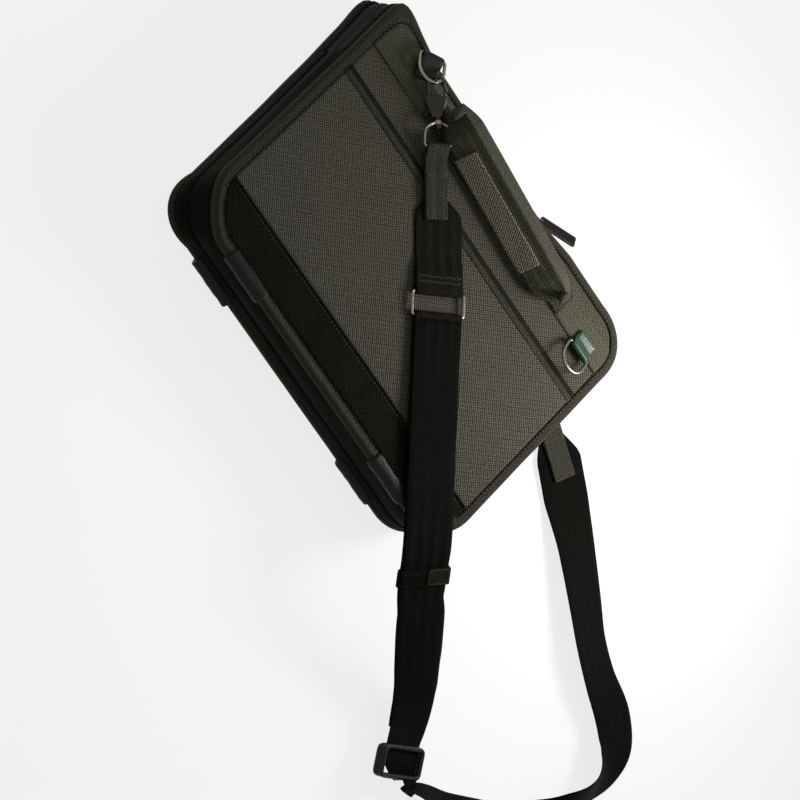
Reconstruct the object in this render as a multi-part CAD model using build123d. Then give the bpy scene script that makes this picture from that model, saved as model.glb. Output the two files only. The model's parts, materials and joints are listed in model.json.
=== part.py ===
"""Soft laptop briefcase with a zip top, two carry handles and a clip-on shoulder strap.

Frame: the case lies on its back. +Z points out of the front cover, +Y towards the zip
and the handles, +X to the right seen from the front. The origin is the middle of the
flat outer wall of the rear pocket, on which the case rests. All sizes are millimetres.
"""
from build123d import *
from math import atan2, cos, degrees, hypot, radians, sin
import os

os.makedirs("parts", exist_ok=True)

# ---------------------------------------------------------------- driving dimensions
CASE_HALF_W = 200.0          # half the width over the bindings
CASE_HALF_H = 149.0          # half the height over the bindings
CASE_DEPTH = 58.0            # back panel face to front panel face
CORNER_R = 47.0              # outer corner radius of the bindings
REST_GAP = 15.0              # rear pocket depth, rest plane to back panel face

PIPE_R = 5.0                 # rolled binding along each panel edge
GUARD_R = 8.0                # leather guard round the rolled binding
GUARD_LEN = 50.0
GUARD_MID_X = 115.3          # middle of each guard from the centre line
RUN_GAP = 0.3                # clearance between pieces that move apart

SKIN_T = 2.0                 # outer fabric of the panels
PANEL_FOAM_T = 3.9
BOARD_T = 1.5
LINING_T = 1.0
SEW_GAP = 0.1                # gap left between sewn layers

GUSSET_T = 2.2
GUSSET_FOAM_T = 3.0
GUSSET_INSET = 1.0           # gusset face inside the binding's outer edge
SEAM_SHARE_Z = 23.0          # seam ridge of the gusset above the back panel face
SEAM_R = 1.2
ZIP_END_Y = 70.0             # the zip opening starts here on both sides

TAPE_T = 1.0                 # zip tape
TAPE_W = 9.0                 # visible tape each side of the chain
COIL_W = 2.3                 # one half of the zip chain
COIL_T = 2.4
CHAIN_GAP = 1.4              # between the cores of the two chain halves

POCKET_HALF_W = 172.0        # rear slip pocket
POCKET_LOW_Y = -128.0
POCKET_TOP_Y = 56.0
POCKET_WALL = 4.0
POCKET_SIDE = 6.0
POCKET_R = 18.0

BAND_LOW_Y = 92.5            # webbing band across front and back
BAND_W = 29.0
BAND_T = 1.5
BAND_MARGIN = 1.1            # flat trims end inside the panel's edge by this
STRIP_Y = 52.0               # narrow trim above the front pocket's mouth
STRIP_W = 9.0
STRIP_T = 1.0
BOOT_TOP_Y = -99.0           # bottom of the front pocket, top of the coarse boot
POCKET_FACE_T = 1.6
BOOT_T = 1.0

RING_IN_W = 25.4             # D-rings of the strap loops
WIRE_D = 3.2
RING_ARM = 10.5              # straight arm between bar and round end
LOOP_W = 24.0
LOOP_T = 1.5
REAR_LOOP_T = 1.2
LOOP_RUN = 0.2               # clearance of a ring's bar in its loop
RING_BEND = 2.6

STRAP_W = 52.0
WEB_T = 1.8                  # one thickness of the shoulder strap
TAB_W = 25.0
TAB_LEN = 66.0
TAB_T = 1.5
FRONT_TONGUE_AT = 44.0       # tip of the strap under each tab, from the eye's bar
REAR_TONGUE_AT = 30.0
RECT_HALF_L = 10.5           # rectangular loop: bar to bar, half
RECT_HALF_W = 28.2
RECT_WIRE = 3.0
KEEPER_L = 17.0
KEEPER_T = 1.5
ADJUSTER_HALF_L = 12.6
ADJUSTER_HALF_W = 28.6
BAR_W = 4.0
BAR_T = 1.6
SLIDE_RUN = 0.35             # clearance of the keeper and the adjuster on the webbing

HOOK_HALF_W = 7.8            # snap hook: bow wire's middle line
HOOK_FAR = -9.1
HOOK_CORNER = 5.0
HOOK_WIRE = 2.8
HOOK_BODY_T = 3.8
HOOK_CHEEK = 1.9               # body's edge beyond the bow's middle line
HOOK_BODY_FROM = 7.2
HOOK_BODY_TO = 26.0
HOLD_AT = -5.0               # where the ring's wire sits in the bow
POST_D = 4.0
EYE_AT = 31.1                # middle of the eye's collar from the bow's middle
EYE_BOSS_L = 3.6
EYE_REACH = 21.1             # collar to the bar held by the tab
EYE_D = 2.8
EYE_HALF_W = 14.6
GATE_FROM = -3.2
GATE_PIVOT_X = 9.2
GATE_T = 2.2
PLAY = 0.25
SWIVEL_PLAY = 0.6

HANDLE_HALF_L = 99.5         # carry handles: half the distance between the feet
HANDLE_Y = 108.0
HANDLE_ROLL_R = 2.4
HANDLE_LEG_W = 13.0
HANDLE_LEG_T = 3.6
HANDLE_RISE = 26.0           # front grip's ridge above the feet
HANDLE_FACET = 19.0          # width of each side of the folded front grip
HANDLE_FACET_DEG = 38.0
HANDLE_SKIN_T = 3.4
HANDLE_WRAP_HALF_L = 62.0
HANDLE_WRAP_T = 1.2
HANDLE_SKEW = 8.0            # the front grip lies askew by this much at each foot
FRONT_HANDLE_X = 3.5
REAR_HANDLE_X = -12.0
LEFT_RING_CLEAR = 48.8       # left ring's bar beyond the front handle's left foot
RIGHT_RING_CLEAR = 57.0      # right ring's bar beyond the right foot
REAR_GRIP_W = 26.0
REAR_GRIP_T = 4.4
REAR_HANDLE_SAG = 9.5       # the rear handle hangs down to the ground by this angle
PATCH_L = 34.0
PATCH_T = 1.6

SLIDER_L = 17.0
SLIDER_W = 11.0
PLATE_T = 1.3
SLIDER_RUN = 0.5
PULL_L = 44.0
PULL_W = 9.0
PULL_T = 2.2
LEFT_SLIDER_X = 25.0
RIGHT_SLIDER_X = 47.0
LEFT_PULL_DEG = 172.0        # direction of each pull, from +X towards +Y
RIGHT_PULL_DEG = 24.0

DIVIDER_T = 4.0
LAPTOP_DEPTH = 25.0
DIVIDER_TOP_Y = 84.0
HOLD_W = 38.0
HOLD_T = 2.0
HOLD_Y = 92.0

# ---------------------------------------------------------------- levels that follow
BACK_Z = REST_GAP
FRONT_Z = BACK_Z + CASE_DEPTH
PIPE_IN_W = CASE_HALF_W - PIPE_R
PIPE_IN_H = CASE_HALF_H - PIPE_R
PIPE_CORNER = CORNER_R - PIPE_R
FRONT_PIPE_Z = FRONT_Z - PIPE_R + 1.0
BACK_PIPE_Z = BACK_Z + PIPE_R - 1.0
HINGE_Y = -PIPE_IN_H
PANEL_HALF_W = PIPE_IN_W - PIPE_R + SEW_GAP
PANEL_HALF_H = PIPE_IN_H - PIPE_R + SEW_GAP
PANEL_R = PIPE_CORNER - PIPE_R
BAND_HALF_W = PANEL_HALF_W - BAND_MARGIN
GUSSET_LOW_Z = BACK_PIPE_Z + PIPE_R + SEW_GAP
SKIN_LOW_Z = BACK_PIPE_Z + PIPE_R - 0.3
SKIN_TOP_Z = FRONT_PIPE_Z - PIPE_R + 0.3
GUSSET_TOP_Z = FRONT_PIPE_Z - PIPE_R - RUN_GAP
ZIP_Z = (GUSSET_LOW_Z + GUSSET_TOP_Z) / 2
ZIP_MID_Y = CASE_HALF_H - GUSSET_INSET - GUSSET_T / 2
BAND_MID_Y = BAND_LOW_Y + BAND_W / 2
SEAM_Z = BACK_Z + SEAM_SHARE_Z
FRONT_BAND_Z = FRONT_Z + BAND_T
BACK_BAND_Z = BACK_Z - BAND_T
RING_R = (RING_IN_W + WIRE_D) / 2


def direction(angle):
    """Unit vector in the XY plane, angle in degrees from +X."""
    return Vector(cos(radians(angle)), sin(radians(angle)), 0)


# strap ends: the ring bars, the hooks that hold them, and the tabs, seen from the front
LEFT_RING_X = FRONT_HANDLE_X - HANDLE_HALF_L - LEFT_RING_CLEAR
RIGHT_RING_X = FRONT_HANDLE_X + HANDLE_HALF_L + RIGHT_RING_CLEAR
FRONT_RING_BAR = Vector(LEFT_RING_X, 133.3, FRONT_Z + 6.0)
FRONT_RING_DEG = -60.0       # direction from the bar to the round end
FRONT_RING_LIFT = 17.0
FRONT_HOOK_DEG = -34.0       # direction from the hook's bow to its eye
FRONT_HOOK_DROP = 3.2
FRONT_HOOK_ROLL = 55.0
FRONT_TAB_DEG = -39.6
FRONT_TAB_DROP = 2.0

RIGHT_RING_BAR = Vector(RIGHT_RING_X, 89.5, FRONT_Z + 5.4)
RIGHT_RING_DEG = -90.0
RIGHT_RING_LIFT = 16.0
REAR_LEFT_BAR = Vector(-155.0, 88.0, 5.0)
REAR_RING_BAR = Vector(134.8, 92.3, 4.6)
REAR_RING_DEG = -30.0
REAR_RING_LIFT = 6.6
REAR_HOOK_DEG = -16.0
REAR_HOOK_DROP = 0.5
REAR_HOOK_ROLL = 30.0
REAR_TAB_DEG = -20.0
REAR_TAB_DROP = 1.0
REAR_TAB_Z = 4.3             # underside of the rear tab where it lies flat

# shoulder strap: middle of its upper layer, and the tilt of the webbing about its run
RECT_AT = Vector(27.6, -6.8, FRONT_Z + 6.3)
STRAP_DEG = -43.5            # run of the strap across the cover
STRAP_END_ON_COVER = HINGE_Y + 0.2
STRAP_START_BELOW = HINGE_Y - 4.0
# stations of the strap beyond the cover: middle of the upper layer, and its tilt
STRAP_DROP = (               # over the case's edge, down to the middle of the keeper
    (140.1, -113.8, 80.2, 0.0), (178.5, -150.3, 80.2, 0.0), (191.0, -161.6, 78.2, 0.0),
    (197.1, -166.24, 75.53, 0.0), (206.5, -173.4, 71.4, 0.0),
)
STRAP_SLOPE = (              # down to the ground, to the end of the lower layer
    (215.9, -180.56, 67.27, 0.0), (222.0, -185.2, 64.6, 0.0), (233.0, -191.5, 59.2, 2.0),
    (251.5, -201.6, 50.0, 3.0), (274.7, -213.1, 38.2, 1.0), (296.9, -224.9, 26.6, -5.0),
    (314.5, -239.2, 20.2, -12.0), (324.0, -249.6, 17.6, -17.5), (328.1, -254.8, 17.2, -20.0),
)
STRAP_GRIP = (               # straight and even, to the middle of the adjuster
    (334.8, -263.4, 17.0, -20.0), (342.9, -273.6, 16.8, -20.0),
)
STRAP_SWEEP = (              # a wide turn on the ground, back to the rear hook
    (351.9, -285.1, 16.55, -20.0), (354.6, -288.2, 17.0, -25.0), (367.0, -293.0, 20.6, -45.0),
    (391.0, -288.0, 25.2, -61.0), (420.0, -271.0, 26.6, -70.0), (447.0, -247.0, 26.8, -66.0),
    (470.0, -218.0, 24.0, -40.0), (487.0, -188.0, 16.0, -8.0), (499.0, -158.0, 12.0, 14.0),
    (505.5, -130.0, 14.6, 27.0), (506.5, -102.0, 12.8, 25.0), (497.0, -76.0, 9.0, 16.0),
    (474.8, -59.7, 8.5, 14.4), (443.4, -51.0, 10.2, 19.4), (408.3, -36.0, 10.7, 20.6),
    (376.2, -16.1, 9.2, 17.0), (346.9, 1.9, 7.6, 13.5), (324.7, 15.2, 6.1, 10.0),
    (306.0, 25.2, 4.8, 5.0), (290.0, 33.8, 3.4, 0.0), (274.0, 42.2, 3.4, 0.0),
    (258.0, 50.6, 3.4, 0.0),
)
STRAP_RUN = STRAP_DROP + STRAP_SLOPE + STRAP_GRIP + STRAP_SWEEP
KEEPER_STATION = STRAP_RUN.index(STRAP_DROP[-1])
LOWER_LAYER_END = STRAP_RUN.index(STRAP_SLOPE[-1])
ADJUSTER_STATION = STRAP_RUN.index(STRAP_GRIP[-1])


def save(shape, node):
    export_step(shape, f"parts/{node}.step")


def plate(half_w, half_h, corner, low, high):
    """Flat rounded plate between two levels."""
    face = RectangleRounded(2 * half_w, 2 * half_h, corner)
    return Pos(0, 0, low) * extrude(face, high - low)


def slab(x0, x1, y0, y1, z0, z1):
    return Pos((x0 + x1) / 2, (y0 + y1) / 2, (z0 + z1) / 2) * Box(x1 - x0, y1 - y0, z1 - z0)


def wall(inset, thick, low, high):
    """Rounded wall that follows the case outline, inset from the bindings' outer edge."""
    outer_w = CASE_HALF_W - inset
    outer_h = CASE_HALF_H - inset
    outer_r = CORNER_R - inset
    outer = RectangleRounded(2 * outer_w, 2 * outer_h, outer_r)
    inner = RectangleRounded(2 * (outer_w - thick), 2 * (outer_h - thick), outer_r - thick)
    return Pos(0, 0, low) * extrude(outer - inner, high - low)


def below_zip(shape, gap=0.0):
    """The part of a wall that is below the ends of the zip opening."""
    keep = slab(-300, 300, -300, ZIP_END_Y - gap, -50, 150)
    return shape & keep


def above_zip(shape, gap=0.0):
    keep = slab(-300, 300, ZIP_END_Y + gap, 300, -50, 150)
    return shape & keep


def pipe(z):
    """Rolled binding round a panel: a round roll along the rounded outline."""
    path = Pos(0, 0, z) * RectangleRounded(2 * PIPE_IN_W, 2 * PIPE_IN_H, PIPE_CORNER).wire()
    start = Plane(origin=(0, PIPE_IN_H, z), z_dir=(1, 0, 0))
    return sweep(start * Circle(PIPE_R), path=path)


def guard(mid_x, z):
    """Leather sleeve round the bottom run of a rolled binding."""
    at = Plane(origin=(mid_x - GUARD_LEN / 2, HINGE_Y, z), z_dir=(1, 0, 0))
    sleeve = extrude(Circle(GUARD_R) - Circle(PIPE_R + SEW_GAP), GUARD_LEN)
    sleeve = fillet(sleeve.edges().filter_by(GeomType.CIRCLE).group_by(SortBy.RADIUS)[-1], 0.9)
    return at.location * sleeve


# ---------------------------------------------------------------- panels
def panel_layers(face_z, inwards):
    """Outer fabric, foam, stiffener board and lining of a panel, from the outside in."""
    layers = []
    level = face_z
    for thick, margin in ((SKIN_T, 0.0), (PANEL_FOAM_T, 0.8), (BOARD_T, 2.0), (LINING_T, 0.8)):
        end = level + inwards * thick
        low, high = min(level, end), max(level, end)
        half_w = PANEL_HALF_W - margin
        layers.append(plate(half_w, PANEL_HALF_H - margin, PANEL_R - margin, low, high))
        level = end + inwards * SEW_GAP
    return layers


front_panel, front_foam, front_board, front_lining = panel_layers(FRONT_Z, -1)
back_panel, back_foam, back_board, back_lining = panel_layers(BACK_Z, 1)
LINING_FACE_Z = BACK_Z + SKIN_T + PANEL_FOAM_T + BOARD_T + LINING_T + 3 * SEW_GAP

front_binding = pipe(FRONT_PIPE_Z)
back_binding = pipe(BACK_PIPE_Z)
front_guards = guard(-GUARD_MID_X, FRONT_PIPE_Z) + guard(GUARD_MID_X, FRONT_PIPE_Z)
back_guards = guard(-GUARD_MID_X, BACK_PIPE_Z) + guard(GUARD_MID_X, BACK_PIPE_Z)

# the guards wrap the panel edges, so the layers and walls beside them are cut back
guard_space = Rot(0, 90, 0) * Cylinder(GUARD_R + RUN_GAP, GUARD_LEN + 2 * RUN_GAP)
guard_room = Compound([
    Pos(side * GUARD_MID_X, HINGE_Y, z) * guard_space
    for side in (-1, 1) for z in (FRONT_PIPE_Z, BACK_PIPE_Z)
])

# ---------------------------------------------------------------- gusset and zip
gusset = below_zip(wall(GUSSET_INSET, GUSSET_T, SKIN_LOW_Z, GUSSET_TOP_Z)) - guard_room
FOAM_INSET = GUSSET_INSET + GUSSET_T + SEW_GAP
foam_wall = wall(FOAM_INSET, GUSSET_FOAM_T, GUSSET_LOW_Z, GUSSET_TOP_Z)
gusset_foam = below_zip(foam_wall) - guard_room
LINING_INSET = FOAM_INSET + GUSSET_FOAM_T + SEW_GAP
lining_wall = wall(LINING_INSET, LINING_T, GUSSET_LOW_Z, GUSSET_TOP_Z)
gusset_lining = below_zip(lining_wall) - guard_room
seam_wall = wall(GUSSET_INSET - SEAM_R, SEAM_R + 0.3, SEAM_Z - SEAM_R, SEAM_Z + SEAM_R)
gusset = gusset + (below_zip(seam_wall) - guard_room)

TAPE_INSET = GUSSET_INSET + (GUSSET_T - TAPE_T) / 2
COIL_INSET = GUSSET_INSET + (GUSSET_T - COIL_T) / 2
CORE_LOW = CHAIN_GAP / 2
TAPE_LOW = CORE_LOW + COIL_W - 0.3
STRIP_LOW = TAPE_LOW + TAPE_W


def zip_half(side):
    """Fabric strip, tape and chain half of one side of the zip opening."""
    edge = SKIN_TOP_Z if side > 0 else SKIN_LOW_Z
    pieces = []
    for inset, thick, near, far in (
        (GUSSET_INSET, GUSSET_T, ZIP_Z + side * (STRIP_LOW + SEW_GAP / 2), edge),
        (TAPE_INSET, TAPE_T, ZIP_Z + side * TAPE_LOW, ZIP_Z + side * STRIP_LOW),
        (COIL_INSET, COIL_T, ZIP_Z + side * CORE_LOW, ZIP_Z + side * (CORE_LOW + COIL_W)),
    ):
        pieces.append(above_zip(wall(inset, thick, min(near, far), max(near, far)), RUN_GAP))
    return pieces


zip_edge_front, front_tape, front_chain = zip_half(1)
zip_edge_rear, rear_tape, rear_chain = zip_half(-1)
zip_front = front_tape + front_chain
zip_rear = rear_tape + rear_chain


def slider():
    """Zip slider: two plates joined by a thin wedge between the chain halves, and a bridge."""
    gap = COIL_T + 2 * SLIDER_RUN
    outline = RectangleRounded(SLIDER_L, SLIDER_W, 3.0)
    taper = Pos(0, 0, 0) * extrude(outline, PLATE_T)
    top = Pos(0, 0, gap / 2) * taper
    bottom = Pos(0, 0, -gap / 2 - PLATE_T) * taper
    wedge = Box(4.0, CHAIN_GAP - 2 * RUN_GAP, gap + 0.2)
    arch = Pos(0, 0, gap / 2 + PLATE_T) * Rot(90, 0, 0) * extrude(
        Pos(0, 1.2) * (Rectangle(9.0, 5.6) - Pos(0, -0.6) * Rectangle(5.0, 3.4)), 1.5, both=True)
    arch = arch & Pos(0, 0, gap / 2 + PLATE_T + 5) * Box(20, 20, 10)
    return top + bottom + wedge + arch


SLIDER_TOP = COIL_T / 2 + SLIDER_RUN + PLATE_T
PIVOT_UP = SLIDER_TOP + 1.2  # pull pivot above the chain's mid-plane


def place_slider(x):
    at = Plane(origin=(x, ZIP_MID_Y, ZIP_Z), x_dir=(1, 0, 0), z_dir=(0, 1, 0))
    return at.location * slider()


def pull(x, angle):
    """Leather pull tab on a wire eye through the slider's bridge, along local +X."""
    eye = Pos(4.1, 0, 0) * (Box(9.6, 7.0, 1.3) - Pos(-0.3, 0, 0) * Box(6.2, 4.0, 3))
    cap = Pos(8.4, 0, 0) * Box(3.0, PULL_W - 1.0, PULL_T + 1.0)
    tab = Pos(9.9, 0, -PULL_T / 2) * extrude(
        Pos(PULL_L / 2, 0) * RectangleRounded(PULL_L, PULL_W, 2.0), PULL_T)
    local = eye + cap + tab
    along = direction(angle)
    up = Vector(-along.Y, along.X, 0)
    at = Plane(origin=Vector(x, ZIP_MID_Y + PIVOT_UP, ZIP_Z), x_dir=along, z_dir=up)
    return at.location * local


# ---------------------------------------------------------------- rear pocket, inside
pocket_h = POCKET_TOP_Y - POCKET_LOW_Y
pocket_mid_y = (POCKET_TOP_Y + POCKET_LOW_Y) / 2
pocket_body = Pos(0, pocket_mid_y, 0) * extrude(
    RectangleRounded(2 * POCKET_HALF_W, pocket_h, POCKET_R), BACK_Z - SEW_GAP)
pocket_body = fillet(pocket_body.faces().sort_by(Axis.Z)[0].edges(), 3.0)
pocket_room = slab(-POCKET_HALF_W + POCKET_SIDE, POCKET_HALF_W - POCKET_SIDE,
                   POCKET_LOW_Y + POCKET_SIDE, POCKET_TOP_Y + 5, POCKET_WALL, BACK_Z + 5)
pocket_corners = pocket_room.edges().filter_by(Axis.Z).group_by(Axis.Y)[0]
pocket_room = fillet(pocket_corners, POCKET_R - POCKET_SIDE)
rear_pocket = pocket_body - pocket_room

DIVIDER_Z = LINING_FACE_Z + LAPTOP_DEPTH
inner_w = CASE_HALF_W - LINING_INSET - LINING_T - SEW_GAP
inner_h = CASE_HALF_H - LINING_INSET - LINING_T - SEW_GAP
inner_r = CORNER_R - LINING_INSET - LINING_T
divider = plate(inner_w, inner_h, inner_r, DIVIDER_Z, DIVIDER_Z + DIVIDER_T)
divider = divider & slab(-300, 300, -300, DIVIDER_TOP_Y, 0, 100)
laptop_divider = fillet(divider.edges().filter_by(Axis.Z).group_by(Axis.Y)[-1], 14.0)

half_hold = HOLD_W / 2
hold_edge = HOLD_Y + HOLD_T / 2
HOLD_PIVOT_Z = LINING_FACE_Z + HOLD_T / 2
HOLD_TOP_Z = DIVIDER_Z + DIVIDER_T + RUN_GAP
hold_foot = slab(-half_hold, half_hold, HOLD_Y - 26, HOLD_Y, LINING_FACE_Z, LINING_FACE_Z + HOLD_T)
hold_pin = Pos(0, HOLD_Y, HOLD_PIVOT_Z) * Rot(0, 90, 0) * Cylinder(HOLD_T / 2, HOLD_W)
hold_anchor = hold_foot + hold_pin
hold_low = HOLD_PIVOT_Z + HOLD_T / 2 + RUN_GAP
hold_rise = slab(-half_hold, half_hold, hold_edge - HOLD_T, hold_edge, hold_low, HOLD_TOP_Z)
flap_from = DIVIDER_TOP_Y - 14
hold_flap = slab(-half_hold, half_hold, flap_from, hold_edge, HOLD_TOP_Z, HOLD_TOP_Z + HOLD_T)
hold_strap = hold_rise + hold_flap

# ---------------------------------------------------------------- webbing on the panels
panel_shape = plate(BAND_HALF_W, PANEL_HALF_H - 1.4, PANEL_R - 1.4, -50, 150)
BAND_TOP_Y = BAND_LOW_Y + BAND_W
front_band = panel_shape & slab(-300, 300, BAND_LOW_Y, BAND_TOP_Y, FRONT_Z, FRONT_BAND_Z)
back_band = panel_shape & slab(-300, 300, BAND_LOW_Y, BAND_TOP_Y, BACK_BAND_Z, BACK_Z)
strip_top_z = FRONT_Z + STRIP_T
pocket_strip = slab(-BAND_HALF_W, BAND_HALF_W, STRIP_Y, STRIP_Y + STRIP_W, FRONT_Z, strip_top_z)
mouth_y = STRIP_Y - SEW_GAP
pocket_face_z = FRONT_Z + POCKET_FACE_T
front_pocket = slab(-BAND_HALF_W, BAND_HALF_W, BOOT_TOP_Y, mouth_y, FRONT_Z, pocket_face_z)
boot_plate = plate(BAND_HALF_W, PANEL_HALF_H - 1.5, PANEL_R, FRONT_Z, FRONT_Z + BOOT_T)
front_boot = boot_plate & slab(-300, 300, -300, BOOT_TOP_Y - SEW_GAP, 0, 100)
front_boot = front_boot - guard_room
front_panel = front_panel - guard_room
front_foam = front_foam - guard_room
front_board = front_board - guard_room
front_lining = front_lining - guard_room
back_panel = back_panel - guard_room
back_foam = back_foam - guard_room
back_board = back_board - guard_room
back_lining = back_lining - guard_room

# ---------------------------------------------------------------- rings and loops
def ring_frame(bar, angle, lift=0.0):
    """Plane with X along the bar and -Y towards the ring's round end."""
    flat = direction(angle)
    out = flat * cos(radians(lift)) + Vector(0, 0, sin(radians(lift)))
    side = Vector(-flat.Y, flat.X, 0)
    return Plane(origin=bar, x_dir=side, z_dir=side.cross(out * -1))


def d_ring(at):
    """Wire D-ring: a straight bar, two arms and a half-round end."""
    r = RING_R
    b = RING_BEND
    with BuildLine() as line:
        Line((-r + b, 0), (r - b, 0))
        RadiusArc((r - b, 0), (r, -b), b)
        Line((r, -b), (r, -RING_ARM))
        ThreePointArc((r, -RING_ARM), (0, -RING_ARM - r), (-r, -RING_ARM))
        Line((-r, -RING_ARM), (-r, -b))
        RadiusArc((-r, -b), (-r + b, 0), b)
    section = Plane(origin=(0, 0, 0), z_dir=(1, 0, 0)) * Circle(WIRE_D / 2)
    ring = sweep(section, path=line.wire())
    return at.location * ring


def fold(bar, angle, size, run, tail, seat_z):
    """Strip folded round a bar and sewn flat: barrel, sloping neck, then a level tail.

    size is the width, one thickness and the bar's radius; the strip leaves the bar
    towards angle, and its tail rests on seat_z (or hangs from it when the bar is lower).
    """
    width, thick, bar_r = size
    inner = bar_r + LOOP_RUN
    outer = inner + thick
    flat = direction(angle)
    side = Vector(-flat.Y, flat.X, 0)
    at = Plane(origin=bar + side * (width / 2), x_dir=flat, z_dir=side * -1)
    rest = seat_z - bar.Z
    level = rest + thick if rest < 0 else rest - thick
    barrel = Circle(outer) - Circle(inner)
    neck = Polygon((0, -outer), (run, level - thick), (run, level + thick), (0, outer), align=None)
    flat_part = Pos(run + tail / 2 - 0.1, level) * Rectangle(tail + 0.2, 2 * thick)
    profile = barrel + (neck - Circle(inner + 0.01)) + flat_part
    return at.location * extrude(profile, width)


front_left_frame = ring_frame(FRONT_RING_BAR, FRONT_RING_DEG, FRONT_RING_LIFT)
front_right_frame = ring_frame(RIGHT_RING_BAR, RIGHT_RING_DEG, RIGHT_RING_LIFT)
rear_left_frame = ring_frame(REAR_LEFT_BAR, -90.0)
rear_right_frame = ring_frame(REAR_RING_BAR, REAR_RING_DEG, REAR_RING_LIFT)

front_left_ring = d_ring(front_left_frame)
front_right_ring = d_ring(front_right_frame)
rear_left_ring = d_ring(rear_left_frame)
rear_right_ring = d_ring(rear_right_frame)

FRONT_LOOP = (LOOP_W, LOOP_T, WIRE_D / 2)
REAR_LOOP = (LOOP_W, REAR_LOOP_T, WIRE_D / 2)
front_left_loop = fold(FRONT_RING_BAR, FRONT_RING_DEG, FRONT_LOOP, 13.0, 9.0, FRONT_BAND_Z)
front_right_loop = fold(RIGHT_RING_BAR, 90.0, FRONT_LOOP, 8.0, 9.0, FRONT_BAND_Z)
rear_left_loop = fold(REAR_LEFT_BAR, 90.0, REAR_LOOP, 10.0, 9.0, BACK_BAND_Z)
rear_right_loop = fold(REAR_RING_BAR, REAR_RING_DEG + 180, REAR_LOOP, 10.0, 9.0, BACK_BAND_Z)


# ---------------------------------------------------------------- snap hooks
def inclined(angle, drop):
    """Unit vector towards angle in the XY plane, sloping down by drop degrees."""
    return direction(angle) * cos(radians(drop)) - Vector(0, 0, sin(radians(drop)))


def ring_hold(bar, ring_deg, lift, hook_deg):
    """Middle of the ring's wire where a hook pulling towards hook_deg sits."""
    turn = radians(hook_deg - ring_deg)
    out = inclined(ring_deg, -lift)
    flat = direction(ring_deg)
    side = Vector(-flat.Y, flat.X, 0)
    return bar + out * (RING_ARM + RING_R * cos(turn)) + side * (RING_R * sin(turn))


def hook_plane(hold, angle, drop, roll):
    """Frame of a hook: X from bow to eye, Z normal to the bow."""
    along = inclined(angle, drop)
    flat = direction(angle)
    side = Vector(-flat.Y, flat.X, 0)
    up = along.cross(side)
    normal = up * cos(radians(roll)) - side * sin(radians(roll))
    return Plane(origin=hold - along * HOLD_AT, x_dir=along, z_dir=normal)


def hook_shape():
    r = HOOK_CORNER
    w = HOOK_HALF_W
    with BuildLine() as line:
        Line((HOOK_BODY_FROM + 1.0, -w), (HOOK_FAR + r, -w))
        RadiusArc((HOOK_FAR + r, -w), (HOOK_FAR, -w + r), r)
        Line((HOOK_FAR, -w + r), (HOOK_FAR, w - r))
        RadiusArc((HOOK_FAR, w - r), (HOOK_FAR + r, w), r)
        Line((HOOK_FAR + r, w), (GATE_FROM - PLAY, w))
    start = Plane(origin=(HOOK_BODY_FROM + 1.0, -w, 0), z_dir=(-1, 0, 0))
    bow = sweep(start * Circle(HOOK_WIRE / 2), path=line.wire())
    x0 = HOOK_BODY_FROM
    side = w + 0.8
    outline = Polygon((x0, -w - HOOK_CHEEK), (x0 + 6.8, -side), (HOOK_BODY_TO, -4.4),
                      (HOOK_BODY_TO, 4.4), (x0 + 6.8, side), (x0 + 4.2, side),
                      (x0 + 4.2, w - 2.2), (x0, w - 2.2), align=None)
    body = extrude(outline, HOOK_BODY_T / 2, both=True)
    slot = Box(12.0, 12.0, GATE_T + 2 * PLAY)
    ear = Pos(GATE_PIVOT_X, w, 0) * (Cylinder(2.0, 4.4) - slot)
    link = Pos(x0 + 5.0, w - 1.2, 0) * (Box(4.4, 3.4, 4.4) - slot)
    pin = Pos(GATE_PIVOT_X, w, 0) * Cylinder(0.75, 4.0)
    post_end = EYE_AT + EYE_BOSS_L / 2 + SWIVEL_PLAY + 2.0
    post = Pos((HOOK_BODY_TO - 2.0 + post_end) / 2, 0, 0) * Rot(0, 90, 0) * Cylinder(
        POST_D / 2, post_end - HOOK_BODY_TO + 2.0)
    collar_at = (HOOK_BODY_TO + EYE_AT - EYE_BOSS_L / 2 - SWIVEL_PLAY) / 2
    collar_l = EYE_AT - EYE_BOSS_L / 2 - SWIVEL_PLAY - HOOK_BODY_TO
    collar = Pos(collar_at, 0, 0) * Rot(0, 90, 0) * Cylinder(3.3, collar_l)
    head_at = EYE_AT + EYE_BOSS_L / 2 + SWIVEL_PLAY + 1.5
    head = Pos(head_at, 0, 0) * Rot(0, 90, 0) * Cylinder(3.2, 3.0)
    return bow + body + ear + link + pin + post + collar + head


def gate_shape():
    w = HOOK_HALF_W
    half = GATE_T / 2
    bar = slab(GATE_FROM, GATE_PIVOT_X, w - half, w + half, -half, half)
    knuckle = Pos(GATE_PIVOT_X, w, 0) * Cylinder(1.6, GATE_T)
    thumb = Pos(2.4, w + 1.5, 0) * Rot(0, 0, 16) * Box(5.6, 1.8, GATE_T)
    hole = Pos(GATE_PIVOT_X, w, 0) * Cylinder(0.75 + PLAY, 8)
    return bar + knuckle + thumb - hole


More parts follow.
